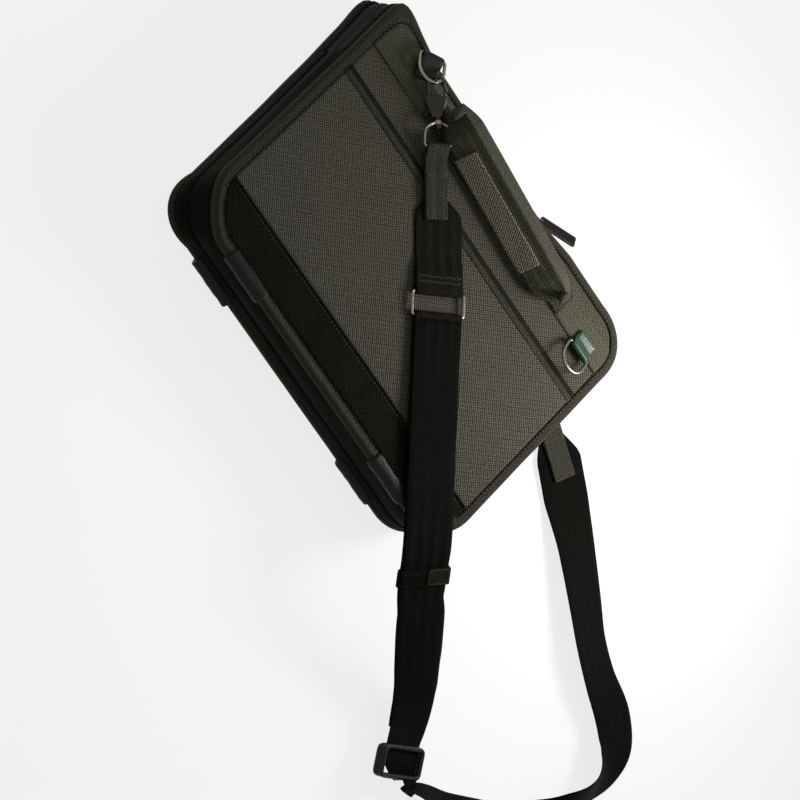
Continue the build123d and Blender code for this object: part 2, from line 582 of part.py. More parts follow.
def eye_shape():
    """Swivel eye: collar on the post, two arms and the straight bar held by the tab."""
    w = EYE_HALF_W
    top = EYE_AT
    end = EYE_AT + EYE_REACH
    with BuildLine() as line:
        Spline((top, 2.9), (top + 5.0, w - 2.6), (end - 4.0, w), tangents=((0.3, 1, 0), (1, 0, 0)))
        Line((end - 4.0, w), (end - 2.6, w))
        RadiusArc((end - 2.6, w), (end, w - 2.6), 2.6)
        Line((end, w - 2.6), (end, -w + 2.6))
        RadiusArc((end, -w + 2.6), (end - 2.6, -w), 2.6)
        Line((end - 2.6, -w), (end - 4.0, -w))
        Spline((end - 4.0, -w), (top + 5.0, -w + 2.6), (top, -2.9), tangents=((-1, 0, 0), (-0.3, 1, 0)))
    start = Plane(origin=(top, 2.9, 0), z_dir=(0.3, 1, 0))
    wire = sweep(start * Circle(EYE_D / 2), path=line.wire())
    boss = Pos(top, 0, 0) * Rot(0, 90, 0) * Cylinder(4.0, EYE_BOSS_L)
    hole = Pos(top, 0, 0) * Rot(0, 90, 0) * Cylinder(POST_D / 2 + SWIVEL_PLAY, EYE_BOSS_L + 8)
    return wire + boss - hole


front_hold = ring_hold(FRONT_RING_BAR, FRONT_RING_DEG, FRONT_RING_LIFT, FRONT_HOOK_DEG)
front_hook_plane = hook_plane(front_hold, FRONT_HOOK_DEG, FRONT_HOOK_DROP, FRONT_HOOK_ROLL)
rear_hold = ring_hold(REAR_RING_BAR, REAR_RING_DEG, REAR_RING_LIFT, REAR_HOOK_DEG)
rear_hook_plane = hook_plane(rear_hold, REAR_HOOK_DEG, REAR_HOOK_DROP, REAR_HOOK_ROLL)


def eye_plane(hook_frame, angle, drop):
    """Frame of an eye, its collar on the hook's post and its bar across the tab."""
    collar = hook_frame.from_local_coords(Vector(EYE_AT, 0, 0))
    along = inclined(angle, drop)
    flat = direction(angle)
    side = Vector(-flat.Y, flat.X, 0)
    return Plane(origin=collar - along * EYE_AT, x_dir=along, z_dir=along.cross(side))


front_eye_plane = eye_plane(front_hook_plane, FRONT_TAB_DEG, FRONT_TAB_DROP)
rear_eye_plane = eye_plane(rear_hook_plane, REAR_TAB_DEG, REAR_TAB_DROP)
front_hook = front_hook_plane.location * hook_shape()
front_gate = front_hook_plane.location * gate_shape()
front_eye = front_eye_plane.location * eye_shape()
rear_hook = rear_hook_plane.location * hook_shape()
rear_gate = rear_hook_plane.location * gate_shape()
rear_eye = rear_eye_plane.location * eye_shape()
FRONT_EYE_BAR = front_eye_plane.from_local_coords(Vector(EYE_AT + EYE_REACH, 0, 0))
REAR_EYE_BAR = rear_eye_plane.from_local_coords(Vector(EYE_AT + EYE_REACH, 0, 0))

TAB_SIZE = (TAB_W, TAB_T, EYE_D / 2)
TONGUE_Z = FRONT_Z + POCKET_FACE_T + 0.9
FRONT_TAB_Z = TONGUE_Z + WEB_T + 0.05
front_tab = fold(FRONT_EYE_BAR, FRONT_TAB_DEG, TAB_SIZE, 12.0, TAB_LEN - 12.0, FRONT_TAB_Z)
rear_tab = fold(REAR_EYE_BAR, REAR_TAB_DEG, TAB_SIZE, 12.0, TAB_LEN - 12.0, REAR_TAB_Z)

# ---------------------------------------------------------------- shoulder strap
rect_plane = Plane(origin=RECT_AT, x_dir=direction(STRAP_DEG), z_dir=(0, 0, 1))
rect_path = RectangleRounded(2 * RECT_HALF_L, 2 * RECT_HALF_W, 2.6).wire()
rect_start = Plane(origin=(0, RECT_HALF_W, 0), z_dir=(1, 0, 0))
rect_loop = rect_plane.location * sweep(rect_start * Circle(RECT_WIRE / 2), path=rect_path)
ACROSS = Plane(origin=(0, STRAP_W / 2, 0), x_dir=(1, 0, 0), z_dir=(0, -1, 0))


def strap_fold(sign, length):
    """Two layers of webbing folded round one bar of the rectangular loop, along local X."""
    inner = RECT_WIRE / 2 + LOOP_RUN
    ring = Circle(inner + WEB_T) - Circle(inner)
    layers = Pos(sign * (length + inner) / 2, 0) * Rectangle(length - inner, 2 * WEB_T)
    profile = ring + (layers - Circle(inner + 0.01))
    return Pos(sign * RECT_HALF_L, 0, 0) * ACROSS.location * extrude(profile, STRAP_W)


def tongue_shape(full_at, tip_at, tip_y):
    """Flat end of the webbing that narrows to fit under a tab, pointing to -X."""
    half = STRAP_W / 2
    tip = TAB_W / 2 - 2
    mid = (full_at + tip_at) / 2
    return Polygon((full_at, half), (mid, tip + 2 + tip_y / 2), (tip_at, tip + tip_y),
                   (tip_at, -tip + tip_y), (mid, -tip - 2 + tip_y / 2), (full_at, -half), align=None)


tip_point = FRONT_EYE_BAR + direction(FRONT_TAB_DEG) * FRONT_TONGUE_AT
tab_mid = rect_plane.to_local_coords(tip_point)
TONGUE_REL = TONGUE_Z - RECT_AT.Z
tongue = Pos(0, 0, TONGUE_REL) * extrude(tongue_shape(-40, tab_mid.X, tab_mid.Y), WEB_T)
slope = Polygon((-42, TONGUE_REL), (-38, TONGUE_REL), (-30, 0), (-26, 0), (-26, WEB_T), (-32, WEB_T),
                (-40, TONGUE_REL + WEB_T), (-42, TONGUE_REL + WEB_T), align=None)
slope_box = ACROSS.location * extrude(slope, STRAP_W)
slope_box = slope_box - slab(-50, -40.2, -100, 100, -20, 20)
strap_top = rect_plane.location * (tongue + slope_box + strap_fold(-1, 24.0))

cover_side = slab(-400, 400, STRAP_END_ON_COVER, 300, 0, 150)
strap_cover = (rect_plane.location * strap_fold(1, 260.0)) & cover_side


def station(index):
    """Frame of the strap at a station: X across the webbing, Z along its run."""
    here = Vector(*STRAP_RUN[index][:3])
    before = Vector(*STRAP_RUN[max(index - 1, 0)][:3])
    after = Vector(*STRAP_RUN[min(index + 1, len(STRAP_RUN) - 1)][:3])
    run = (after - before).normalized()
    side = Vector(0, 0, 1).cross(run).normalized()
    up = run.cross(side)
    tilt = radians(STRAP_RUN[index][3])
    return Plane(origin=here, x_dir=side * cos(tilt) + up * sin(tilt), z_dir=run)


def ribbon(first, last, low, high):
    """Webbing through a run of stations, between two levels of its own thickness."""
    section = Pos(0, (low + high) / 2) * Rectangle(STRAP_W, high - low)
    return loft([station(index) * section for index in range(first, last + 1)], ruled=True)


LAST = len(STRAP_RUN) - 1
HALF_T = WEB_T / 2
upper_layer = ribbon(0, LAST, -HALF_T, HALF_T)
lower_layer = ribbon(0, LOWER_LAYER_END, -3 * HALF_T, -HALF_T + 0.02)
last_frame = station(LAST)
rear_run = degrees(atan2(last_frame.z_dir.Y, last_frame.z_dir.X))
rear_flat = Plane(origin=Vector(*STRAP_RUN[LAST][:3]), x_dir=direction(rear_run + 180), z_dir=(0, 0, 1))
rear_tip_point = REAR_EYE_BAR + direction(REAR_TAB_DEG) * REAR_TONGUE_AT
rear_tab_mid = rear_flat.to_local_coords(rear_tip_point)
rear_tongue = tongue_shape(1.5, rear_tab_mid.X, rear_tab_mid.Y)
rear_end = rear_flat.location * Pos(0, 0, -HALF_T) * extrude(rear_tongue, WEB_T)
below_case = slab(-400, 800, -500, STRAP_START_BELOW, -5, 200)
past_case = slab(CASE_HALF_W + 25, 800, -500, 300, -5, 200)
strap_floor = ((upper_layer + lower_layer) & (below_case + past_case)) + rear_end

# the keeper and the adjuster ride on straight lengths of the strap
keeper_frame = station(KEEPER_STATION)
keeper_in_h = 2 * WEB_T + 2 * SLIDE_RUN
keeper_in_w = STRAP_W + 2 * SLIDE_RUN
keeper_tube = Box(keeper_in_w + 2 * KEEPER_T, keeper_in_h + 2 * KEEPER_T, KEEPER_L)
keeper_tube = fillet(keeper_tube.edges().filter_by(Axis.Z), 1.4)
keeper_tube = keeper_tube - Box(keeper_in_w, keeper_in_h, KEEPER_L + 2)
keeper_seam = Pos(14.0, keeper_in_h / 2 + KEEPER_T + 0.5, 0) * Box(26.0, 1.2, KEEPER_L)
strap_keeper = keeper_frame.location * Pos(0, -HALF_T, 0) * (keeper_tube + keeper_seam)

adjuster_frame = station(ADJUSTER_STATION)
rail_top = HALF_T + SLIDE_RUN + BAR_T
rail_low = -HALF_T - 5.0
rail_in = STRAP_W / 2 + SLIDE_RUN
rails = Pos(0, (rail_top + rail_low) / 2, 0) * (
    Box(2 * rail_in + 5.2, rail_top - rail_low, 2 * ADJUSTER_HALF_L + BAR_W)
    - Box(2 * rail_in, 30, 60))
rails = fillet(rails.edges().filter_by(Axis.Y), 1.2)
top_bars = [Pos(0, rail_top - BAR_T / 2, z) * Box(2 * rail_in + 0.2, BAR_T, BAR_W)
            for z in (-ADJUSTER_HALF_L, ADJUSTER_HALF_L)]
fold_low = -HALF_T - SLIDE_RUN - 2 * WEB_T - BAR_T - 0.3
centre_y = fold_low + WEB_T + 0.15 + BAR_T / 2
centre_bar = Pos(0, centre_y, 0) * Box(2 * rail_in + 0.2, BAR_T, BAR_W)
strap_adjuster = adjuster_frame.location * (rails + top_bars + centre_bar)
fold_box = Box(STRAP_W, BAR_T + 0.3 + 2 * WEB_T, BAR_W + 0.6 + 2 * WEB_T)
fold_box = fillet(fold_box.edges().filter_by(Axis.X), 1.4) - Box(STRAP_W + 2, BAR_T + 0.3, BAR_W + 0.6)
fold_tail = Pos(0, WEB_T / 2 + BAR_T / 2 + 0.15, -8.0) * Box(STRAP_W, WEB_T, 11.0)
adjuster_fold = adjuster_frame.location * Pos(0, centre_y, 0) * (fold_box + fold_tail)


# ---------------------------------------------------------------- carry handles
def handle_feet(mid_x, band_z, side):
    """Box-stitched patches on a band, each with the small roll its handle leg turns on."""
    patches = []
    for x in (mid_x - HANDLE_HALF_L, mid_x + HANDLE_HALF_L):
        low = min(band_z, band_z + side * PATCH_T)
        ends = (x - PATCH_L / 2, x + PATCH_L / 2)
        patch = slab(*ends, BAND_LOW_Y + 1, BAND_TOP_Y - 1, low, low + PATCH_T)
        roll_z = band_z + side * (PATCH_T + HANDLE_ROLL_R - 0.3)
        roll = Pos(x, HANDLE_Y, roll_z) * Rot(0, 90, 0) * Cylinder(HANDLE_ROLL_R, 14.0)
        patches.append(patch + roll)
    return patches[0] + patches[1]


FRONT_ROLL_Z = FRONT_BAND_Z + PATCH_T + HANDLE_ROLL_R - 0.3
REAR_ROLL_Z = BACK_BAND_Z - PATCH_T - HANDLE_ROLL_R + 0.3
front_handle_feet = handle_feet(FRONT_HANDLE_X, FRONT_BAND_Z, 1)
rear_handle_feet = handle_feet(REAR_HANDLE_X, BACK_BAND_Z, -1)

facet_y = HANDLE_FACET * cos(radians(HANDLE_FACET_DEG))
facet_z = HANDLE_FACET * sin(radians(HANDLE_FACET_DEG))


def roof(rise, thick, half_l):
    """Folded band: two sloping sides that meet in a ridge, along X."""
    hem = rise - facet_z
    top = Polygon((0, rise), (-facet_y, hem), (-facet_y, hem - thick), (0, rise - thick),
                  (facet_y, hem - thick), (facet_y, hem), align=None)
    at = Plane(origin=(-half_l, 0, 0), x_dir=(0, 1, 0), z_dir=(1, 0, 0))
    return at.location * extrude(top, 2 * half_l)


skew_deg = degrees(atan2(-HANDLE_SKEW, HANDLE_HALF_L))
grip = Rot(0, 0, skew_deg) * roof(HANDLE_RISE, HANDLE_SKIN_T, HANDLE_HALF_L + 3)
legs = []
for sign in (-1, 1):
    lean = -sign * HANDLE_SKEW
    half = HANDLE_LEG_W / 2
    mid = lean / 2
    top = HANDLE_RISE - 5
    leg = Polygon((-3.4, 1.5), (3.4, 1.5), (half + mid, 12), (half + lean, top),
                  (lean, HANDLE_RISE - 1.5), (lean - half, top), (mid - half, 12), align=None)
    leg = leg - Circle(HANDLE_ROLL_R + RUN_GAP)
    outer_x = sign * HANDLE_HALF_L - HANDLE_LEG_T / 2
    at = Plane(origin=(outer_x, 0, 0), x_dir=(0, 1, 0), z_dir=(1, 0, 0))
    legs.append(at.location * extrude(leg, HANDLE_LEG_T))
front_handle = Pos(FRONT_HANDLE_X, HANDLE_Y, FRONT_ROLL_Z) * (grip + legs)
wrap_outer = roof(HANDLE_RISE + SEW_GAP + HANDLE_WRAP_T, HANDLE_WRAP_T, HANDLE_WRAP_HALF_L)
front_handle_wrap = Pos(FRONT_HANDLE_X, HANDLE_Y, FRONT_ROLL_Z) * Rot(0, 0, skew_deg) * wrap_outer

rear_reach = HANDLE_ROLL_R + RUN_GAP
rear_legs = [slab(x - HANDLE_LEG_W / 2, x + HANDLE_LEG_W / 2, rear_reach, 18.0, -1.6, 1.6)
             for x in (-HANDLE_HALF_L, HANDLE_HALF_L)]
rear_half_l = HANDLE_HALF_L + 6.5
rear_half_t = REAR_GRIP_T / 2
rear_bar = slab(-rear_half_l, rear_half_l, 14.0, 14.0 + REAR_GRIP_W, -rear_half_t, rear_half_t)
rear_bar = fillet(rear_bar.edges().filter_by(Axis.Z), 8.0)
rear_rest = Rot(-REAR_HANDLE_SAG, 0, 0) * (rear_bar + rear_legs)
rear_handle = Pos(REAR_HANDLE_X, HANDLE_Y, REAR_ROLL_Z) * rear_rest

# ---------------------------------------------------------------- files
NODES = {
    "back_panel": back_panel, "back_foam": back_foam, "back_board": back_board,
    "back_lining": back_lining,
    "back_binding": back_binding, "back_guards": back_guards, "back_band": back_band,
    "rear_pocket": rear_pocket, "gusset": gusset, "gusset_foam": gusset_foam,
    "gusset_lining": gusset_lining, "zip_edge_rear": zip_edge_rear, "zip_rear": zip_rear,
    "laptop_divider": laptop_divider,
    "hold_anchor": hold_anchor, "hold_strap": hold_strap, "rear_left_loop": rear_left_loop,
    "rear_right_loop": rear_right_loop, "rear_left_ring": rear_left_ring,
    "rear_right_ring": rear_right_ring,
    "rear_hook": rear_hook, "rear_gate": rear_gate, "rear_eye": rear_eye, "rear_tab": rear_tab,
    "strap_floor": strap_floor, "strap_keeper": strap_keeper, "strap_adjuster": strap_adjuster,
    "adjuster_fold": adjuster_fold, "rear_handle": rear_handle, "rear_handle_feet": rear_handle_feet,
    "front_panel": front_panel, "front_foam": front_foam, "front_board": front_board,
    "front_lining": front_lining, "front_binding": front_binding, "front_guards": front_guards,
    "front_band": front_band, "pocket_strip": pocket_strip, "front_pocket": front_pocket,
    "front_boot": front_boot, "zip_edge_front": zip_edge_front, "zip_front": zip_front,
    "front_left_loop": front_left_loop,
    "front_right_loop": front_right_loop, "front_left_ring": front_left_ring,
    "front_right_ring": front_right_ring, "front_hook": front_hook, "front_gate": front_gate,
    "front_eye": front_eye, "front_tab": front_tab, "strap_top": strap_top, "rect_loop": rect_loop,
    "strap_cover": strap_cover, "front_handle": front_handle, "front_handle_wrap": front_handle_wrap,
    "front_handle_feet": front_handle_feet, "left_slider": place_slider(LEFT_SLIDER_X),
    "right_slider": place_slider(RIGHT_SLIDER_X), "left_pull": pull(LEFT_SLIDER_X, LEFT_PULL_DEG),
    "right_pull": pull(RIGHT_SLIDER_X, RIGHT_PULL_DEG),
}
for node, shape in NODES.items():
    save(shape, node)
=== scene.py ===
"""Dressed laptop briefcase: woven panels, rolled bindings, webbing, wire hardware and zip."""
import json
import math
import bpy
import numpy as np
from mathutils import Matrix, Vector, noise

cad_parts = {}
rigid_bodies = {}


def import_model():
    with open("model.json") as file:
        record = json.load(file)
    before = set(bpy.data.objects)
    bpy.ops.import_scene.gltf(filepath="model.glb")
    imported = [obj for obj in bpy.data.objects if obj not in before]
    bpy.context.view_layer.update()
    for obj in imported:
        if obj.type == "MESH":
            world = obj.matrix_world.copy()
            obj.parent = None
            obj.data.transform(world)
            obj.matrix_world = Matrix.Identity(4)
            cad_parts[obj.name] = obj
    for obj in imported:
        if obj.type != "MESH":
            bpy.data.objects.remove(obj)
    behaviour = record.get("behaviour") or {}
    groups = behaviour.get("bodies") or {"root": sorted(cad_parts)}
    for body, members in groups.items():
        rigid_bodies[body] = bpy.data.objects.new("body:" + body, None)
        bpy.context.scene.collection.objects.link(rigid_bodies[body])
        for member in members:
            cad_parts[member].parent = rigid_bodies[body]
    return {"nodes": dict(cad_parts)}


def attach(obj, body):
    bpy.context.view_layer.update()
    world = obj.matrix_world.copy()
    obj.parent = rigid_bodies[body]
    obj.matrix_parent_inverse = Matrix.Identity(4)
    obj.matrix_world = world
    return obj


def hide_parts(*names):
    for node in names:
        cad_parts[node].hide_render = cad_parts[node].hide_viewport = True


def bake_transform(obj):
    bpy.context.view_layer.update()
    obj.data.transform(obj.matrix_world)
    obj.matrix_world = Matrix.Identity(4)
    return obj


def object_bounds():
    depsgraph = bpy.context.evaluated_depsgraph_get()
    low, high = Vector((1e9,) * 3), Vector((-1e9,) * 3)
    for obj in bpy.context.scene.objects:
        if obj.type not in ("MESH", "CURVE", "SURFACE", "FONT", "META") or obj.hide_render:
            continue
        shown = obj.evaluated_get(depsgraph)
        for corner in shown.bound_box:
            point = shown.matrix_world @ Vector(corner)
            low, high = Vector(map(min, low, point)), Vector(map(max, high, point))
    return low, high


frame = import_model()
CAD_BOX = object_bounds()
NODES = frame["nodes"]
MM = 0.001
UP = np.array([0, 0, 1.0])
rad = math.radians

# ---- sizes, in millimetres
HALF_W, HALF_H, CORNER = 200.0, 149.0, 47.0  # the case's outline
PANEL_W, PANEL_H, PANEL_R = 190.1, 139.1, 37.0  # half sizes of the panels in the bindings
BACK_Z, FRONT_Z = 15.0, 73.0  # outer faces of the back and the cover
BACK_IN_Z, FRONT_IN_Z = 23.6, 64.4  # their inner faces
PIPE_IN, FRONT_PIPE_Z, BACK_PIPE_Z = 5.0, 69.0, 19.0  # middle of the bindings
SEAM_Z, ZIP_Z, ZIP_END_Y = 38.0, 43.9, 70.0  # the gusset's seam, the zip and its ends
WALL_MID = 2.1  # how far the zip's chain lies inside the outline
FRONT_BAND_Z, BACK_BAND_Z = 74.5, 13.5  # outer faces of the webbing across the panels
HINGE_Y = -144.0


# ---- materials
def srgb(r, g, b):
    """Linear colour of an 8-bit screen colour."""
    def line(c):
        c /= 255.0
        return c / 12.92 if c <= 0.04045 else ((c + 0.055) / 1.055) ** 2.4
    return (line(r), line(g), line(b), 1.0)


class Nodes:
    """Adds and links the nodes of one shader tree."""

    def __init__(self, tree):
        self.tree = tree

    def feed(self, node, sockets):
        """Set or link inputs of a node, given by name or place."""
        for key, value in sockets.items():
            if isinstance(value, bpy.types.NodeSocket):
                self.tree.links.new(value, node.inputs[key])
            else:
                node.inputs[key].default_value = value

    def add(self, kind, sockets=None, **props):
        node = self.tree.nodes.new(kind)
        for key, value in props.items():
            setattr(node, key, value)
        self.feed(node, sockets or {})
        return node

    def math(self, op, a, b=0.0, c=0.0):
        return self.add("ShaderNodeMath", {0: a, 1: b, 2: c}, operation=op).outputs[0]

    def times(self, a, b):
        return self.math("MULTIPLY", a, b)

    def wave(self, x, pitch, phase=0.0):
        """0..1 cosine of x with this pitch."""
        turn = self.math("MULTIPLY_ADD", x, 2 * math.pi / pitch, phase)
        return self.math("MULTIPLY_ADD", self.math("COSINE", turn), 0.5, 0.5)

    def scaled(self, vector, factor):
        return self.add("ShaderNodeVectorMath", {0: vector, "Scale": factor}, operation="SCALE").outputs[0]

    def noise(self, coords, scale, detail, rough=0.6):
        sockets = {"Vector": coords, "Scale": scale, "Detail": detail, "Roughness": rough}
        return self.add("ShaderNodeTexNoise", sockets).outputs[0]

    def seen(self):
        """1 for the rays that show a surface, 0 for those that light the case."""
        path = self.add("ShaderNodeLightPath").outputs
        direct = self.math("MAXIMUM", path["Is Camera Ray"], path["Is Glossy Ray"])
        return self.math("MAXIMUM", direct, path["Is Transmission Ray"])


class Paint(Nodes):
    """Nodes of a new material round one Principled shader."""

    def __init__(self, name):
        self.mat = bpy.data.materials.new(name)
        self.mat.use_nodes = True
        super().__init__(self.mat.node_tree)
        self.tree.nodes.clear()
        self.bsdf = self.add("ShaderNodeBsdfPrincipled")
        self.out = self.add("ShaderNodeOutputMaterial", {0: self.bsdf.outputs[0]})

    def millimetres(self, uv=False):
        """Coordinates in millimetres: lengths along the cloth, or places in the object."""
        if uv:
            return self.add("ShaderNodeUVMap", uv_map="weave").outputs[0]
        return self.scaled(self.add("ShaderNodeTexCoord").outputs["Object"], 1 / MM)

    def mix(self, factor, dark, light):
        sockets = {0: factor, 6: srgb(*dark), 7: srgb(*light)}
        return self.add("ShaderNodeMix", sockets, data_type="RGBA").outputs[2]

    def speckle(self, factor, colour, gain, lift=0):
        """Base colour that varies between a colour and a lighter one."""
        light = [min(255, c * gain + lift) for c in colour]
        self.feed(self.bsdf, {"Base Color": self.mix(factor, colour, light)})

    def finish(self, height, distance, strength, rough, specular, metallic=0.0):
        """Bump from a height, and the gloss."""
        bump = self.add("ShaderNodeBump", {"Strength": strength, "Distance": distance * MM, "Height": height})
        self.feed(self.bsdf, {"Normal": bump.outputs[0], "Roughness": rough,
                              "Specular IOR Level": specular, "Metallic": metallic})
        return self.mat


def weave(n, kind, u, v, pitch, band):
    """Height of a weave, 0 in the gaps and 1 on the yarns."""
    if kind == "basket":
        gaps = n.math("MAXIMUM", n.times(n.wave(u, pitch), n.wave(v, pitch)),
                      n.times(n.wave(u, pitch, math.pi), n.wave(v, pitch, math.pi)))
        over = n.times(*(n.math("SINE", n.times(x, math.pi / pitch)) for x in (u, v)))
        return n.math("SUBTRACT", n.math("MULTIPLY_ADD", over, 0.14, 0.86), n.math("POWER", gaps, 1.3))
    if kind == "herringbone":
        slant = n.math("PINGPONG", u, band)
        rows = n.wave(n.math("ADD", v, slant), pitch)
        spine = n.math("ABSOLUTE", n.math("SUBTRACT", slant, band / 2))
        edge = n.math("SMOOTH_MIN", n.math("SUBTRACT", band / 2, spine), 0.6, 0.3)
        return n.math("MULTIPLY_ADD", edge, 0.35, n.times(rows, 0.75))
    if kind == "rib":
        return n.math("MULTIPLY_ADD", n.wave(u, pitch * 0.45), 0.25, n.times(n.wave(v, pitch), 0.75))
    return n.math("SUBTRACT", 1.0, n.times(n.wave(u, pitch), n.wave(v, pitch)))


def fabric(name, dark, light, kind, pitch, depth, specular=0.16, band=5.0, rough=0.62, tint=0.14, uv=True):
    """Woven cloth: yarn pattern in colour and bump, uneven dye, fine fibres."""
    n = Paint(name)
    source = n.millimetres(uv)
    parts = n.add("ShaderNodeSeparateXYZ", {0: source}).outputs
    height = weave(n, kind, parts[0], parts[1], pitch, band)
    fibres, patchy = n.noise(source, 1.7, 3.0, 0.7), n.noise(source, 0.018, 3.0, 0.55)
    level = n.math("MULTIPLY_ADD", fibres, 0.14, n.math("SUBTRACT", height, 0.07))
    yarn = n.mix(n.math("MAXIMUM", n.math("MINIMUM", level, 1.0), 0.0), dark, light)
    dye = n.math("MULTIPLY_ADD", patchy, 2 * tint, 1.0 - tint)
    n.feed(n.bsdf, {"Base Color": n.scaled(yarn, dye)})
    return n.finish(n.math("MULTIPLY_ADD", fibres, 0.25, height), depth * 3, 0.9,
                    n.math("MULTIPLY_ADD", fibres, 0.16, rough - 0.08), specular)


def leather(name, colour, rough=0.42, specular=0.12):
    """Grained leather, worn lighter in places."""
    n = Paint(name)
    source = n.millimetres(uv=True)
    cells = n.add("ShaderNodeTexVoronoi", {"Vector": source, "Scale": 0.9}, feature="DISTANCE_TO_EDGE")
    wear = n.noise(source, 0.12, 4.0)
    n.speckle(n.times(wear, 0.5), colour, 1.9, 4)
    return n.finish(n.math("MINIMUM", n.times(cells.outputs[0], 3.0), 1.0), 0.06, 0.5,
                    n.math("MULTIPLY_ADD", wear, 0.2, rough - 0.1), specular)


def metal(name, colour, rough):
    """Plated or cast metal with faint smears."""
    n = Paint(name)
    source = n.millimetres()
    smear = n.noise(source, 0.35, 4.0)
    n.speckle(smear, colour, 1.35)
    return n.finish(n.noise(source, 3.0, 2.0), 0.01, 0.3,
                    n.math("MULTIPLY_ADD", smear, 0.12, rough - 0.05), 0.5, 1.0)


def plastic(name, colour, rough):
    """Moulded plastic with a fine grain."""
    n = Paint(name)
    grain = n.noise(n.millimetres(), 2.2, 3.0)
    n.speckle(n.times(grain, 0.5), colour, 1.5, 6)
    return n.finish(grain, 0.03, 0.4, n.math("MULTIPLY_ADD", grain, 0.15, rough), 0.16)


# cloths: dark and light yarn, weave, pitch, depth of the bump, specular level
M = {
    "ballistic": fabric("ballistic_weave", (2, 2, 1), (87, 84, 67), "basket", 3.0, 0.3, 0.14, rough=0.48),
    # the handle wrap is the pocket's ballistic cloth made lighter: its extra lightness is painted light on
    # the grip's lit face
    "wrap": fabric("wrap_weave_painted_light", (17, 17, 14), (162, 158, 134), "basket", 2.8, 0.25, 0.12),
    "boot": fabric("boot_weave", (2, 2, 1), (30, 29, 23), "basket", 3.0, 0.25, 0.02, tint=0.7),
    "gusset": fabric("gusset_nylon", (6, 6, 5), (20, 20, 16), "plain", 1.1, 0.05, 0.02, rough=0.6, tint=0.3),
    "binding": fabric("binding_tape", (7, 7, 5), (66, 64, 52), "herringbone", 2.6, 0.3, 0.08, 3.6),
    "webbing": fabric("panel_webbing", (17, 17, 13), (92, 90, 73), "herringbone", 2.4, 0.25, 0.08, 4.8),
    "tab": fabric("tab_webbing", (9, 9, 7), (64, 62, 50), "herringbone", 3.0, 0.35, 0.08, 6.2),
    "strap": fabric("strap_webbing", (2, 2, 1), (14, 13, 10), "herringbone", 2.4, 0.2, 0.02, 6.5),
    "strap_end": fabric("strap_end_webbing", (3, 3, 2), (24, 23, 18), "herringbone", 2.4, 0.2, 0.03, 6.5),
    "trim": fabric("trim_grosgrain", (6, 6, 4), (30, 29, 23), "rib", 1.6, 0.12, 0.04),
    "lining": fabric("lining_nylon", (62, 62, 64), (92, 92, 94), "plain", 0.9, 0.03),
    "tape": fabric("zip_tape", (8, 8, 7), (26, 26, 22), "rib", 1.2, 0.08, 0.06),
    "thread": fabric("sewing_thread", (50, 48, 38), (96, 92, 76), "plain", 0.5, 0.02, 0.1, uv=False),
    "dark_thread": fabric("dark_thread", (18, 17, 13), (50, 48, 38), "plain", 0.5, 0.02, 0.1, uv=False),
    "leather": leather("black_leather", (9, 10, 8)),
    # dark green-black leather for the front right loop only; its lighter green tone is painted highlight, and
    # the other loops of the same leather stay dark
    "green_leather_painted_sheen": leather("green_leather_painted_sheen", (15, 37, 24), 0.3, 0.25),
    "pull_leather": leather("pull_leather", (13, 9, 7), 0.38),
    "wire": metal("plated_wire", (92, 90, 80), 0.22),
    "cast": metal("dark_cast_metal", (40, 38, 33), 0.3),
    "coil": plastic("zip_coil", (12, 12, 10), 0.4),
    "frame": plastic("dark_plastic", (9, 9, 8), 0.3),
}


# ---- lines and directions
def lengths(points):
    """Distance along a row of points."""
    steps = np.linalg.norm(np.diff(points, axis=0), axis=1)
    return np.concatenate([[0.0], np.cumsum(steps)])


def unit(v):
    return v / np.maximum(np.linalg.norm(v, axis=-1, keepdims=True), 1e-12)


def looped(rows):
    return np.vstack([rows, rows[:1]])


def waver(*place):
    """Smooth noise at a place."""
    return noise.noise(Vector(place))


def track(xs, y, z):
    """Points whose coordinates are lists or single numbers."""
    return np.column_stack(np.broadcast_arrays(xs, y, z))


def at_height(points, z):
    """Points on the outline, or directions along it, with a third coordinate."""
    return np.insert(points, 2, z, axis=1)


def circle(count):
    return np.linspace(0, 2 * math.pi, count, endpoint=False)


def flat_dir(angle):
    return np.array([math.cos(rad(angle)), math.sin(rad(angle)), 0.0])


def left_of(flat):
    """Flat direction to the left of a flat direction."""
    return np.array([-flat[1], flat[0], 0.0])


def left_normals(line):
    """Normals to the left of a line of (x, y) points."""
    ahead = unit(np.gradient(line, axis=0))
    return np.column_stack([-ahead[:, 1], ahead[:, 0]])


def spread(count, power=0.55):
    """-1..1, closer together towards the ends."""
    t = np.linspace(-1, 1, count)
    return (1 - power) * t + power * np.sin(t * math.pi / 2)


def oval(a, b, power_a, power_b, count):
    """Closed rounded outline of half sizes a and b."""
    c, s = np.cos(circle(count)), np.sin(circle(count))
    return np.stack([a * np.sign(c) * np.abs(c) ** power_a, b * np.sign(s) * np.abs(s) ** power_b], 1)


def even(points, run, count):
    """Rows at equal steps along a line whose lengths are run."""
    at = np.linspace(0, run[-1], count)
    return np.stack([np.interp(at, run, column) for column in points.T], 1)


def resample(points, step):
    """Rows every step along a line."""
    points = np.asarray(points, float)
    run = lengths(points)
    return even(points, run, max(2, int(round(run[-1] / step)) + 1))


def smooth_path(points, step):
    """Corner-cutting curve through rows that start with a place."""
    p = np.asarray(points, float)
    for _ in range(2):
        inner = np.empty((2 * len(p) - 2, p.shape[1]))
        inner[0::2] = 0.75 * p[:-1] + 0.25 * p[1:]
        inner[1::2] = 0.25 * p[:-1] + 0.75 * p[1:]
        p = np.vstack([p[:1], inner, p[-1:]])
    run = lengths(p[:, :3])
    return even(p, run, max(2, int(run[-1] / step)))


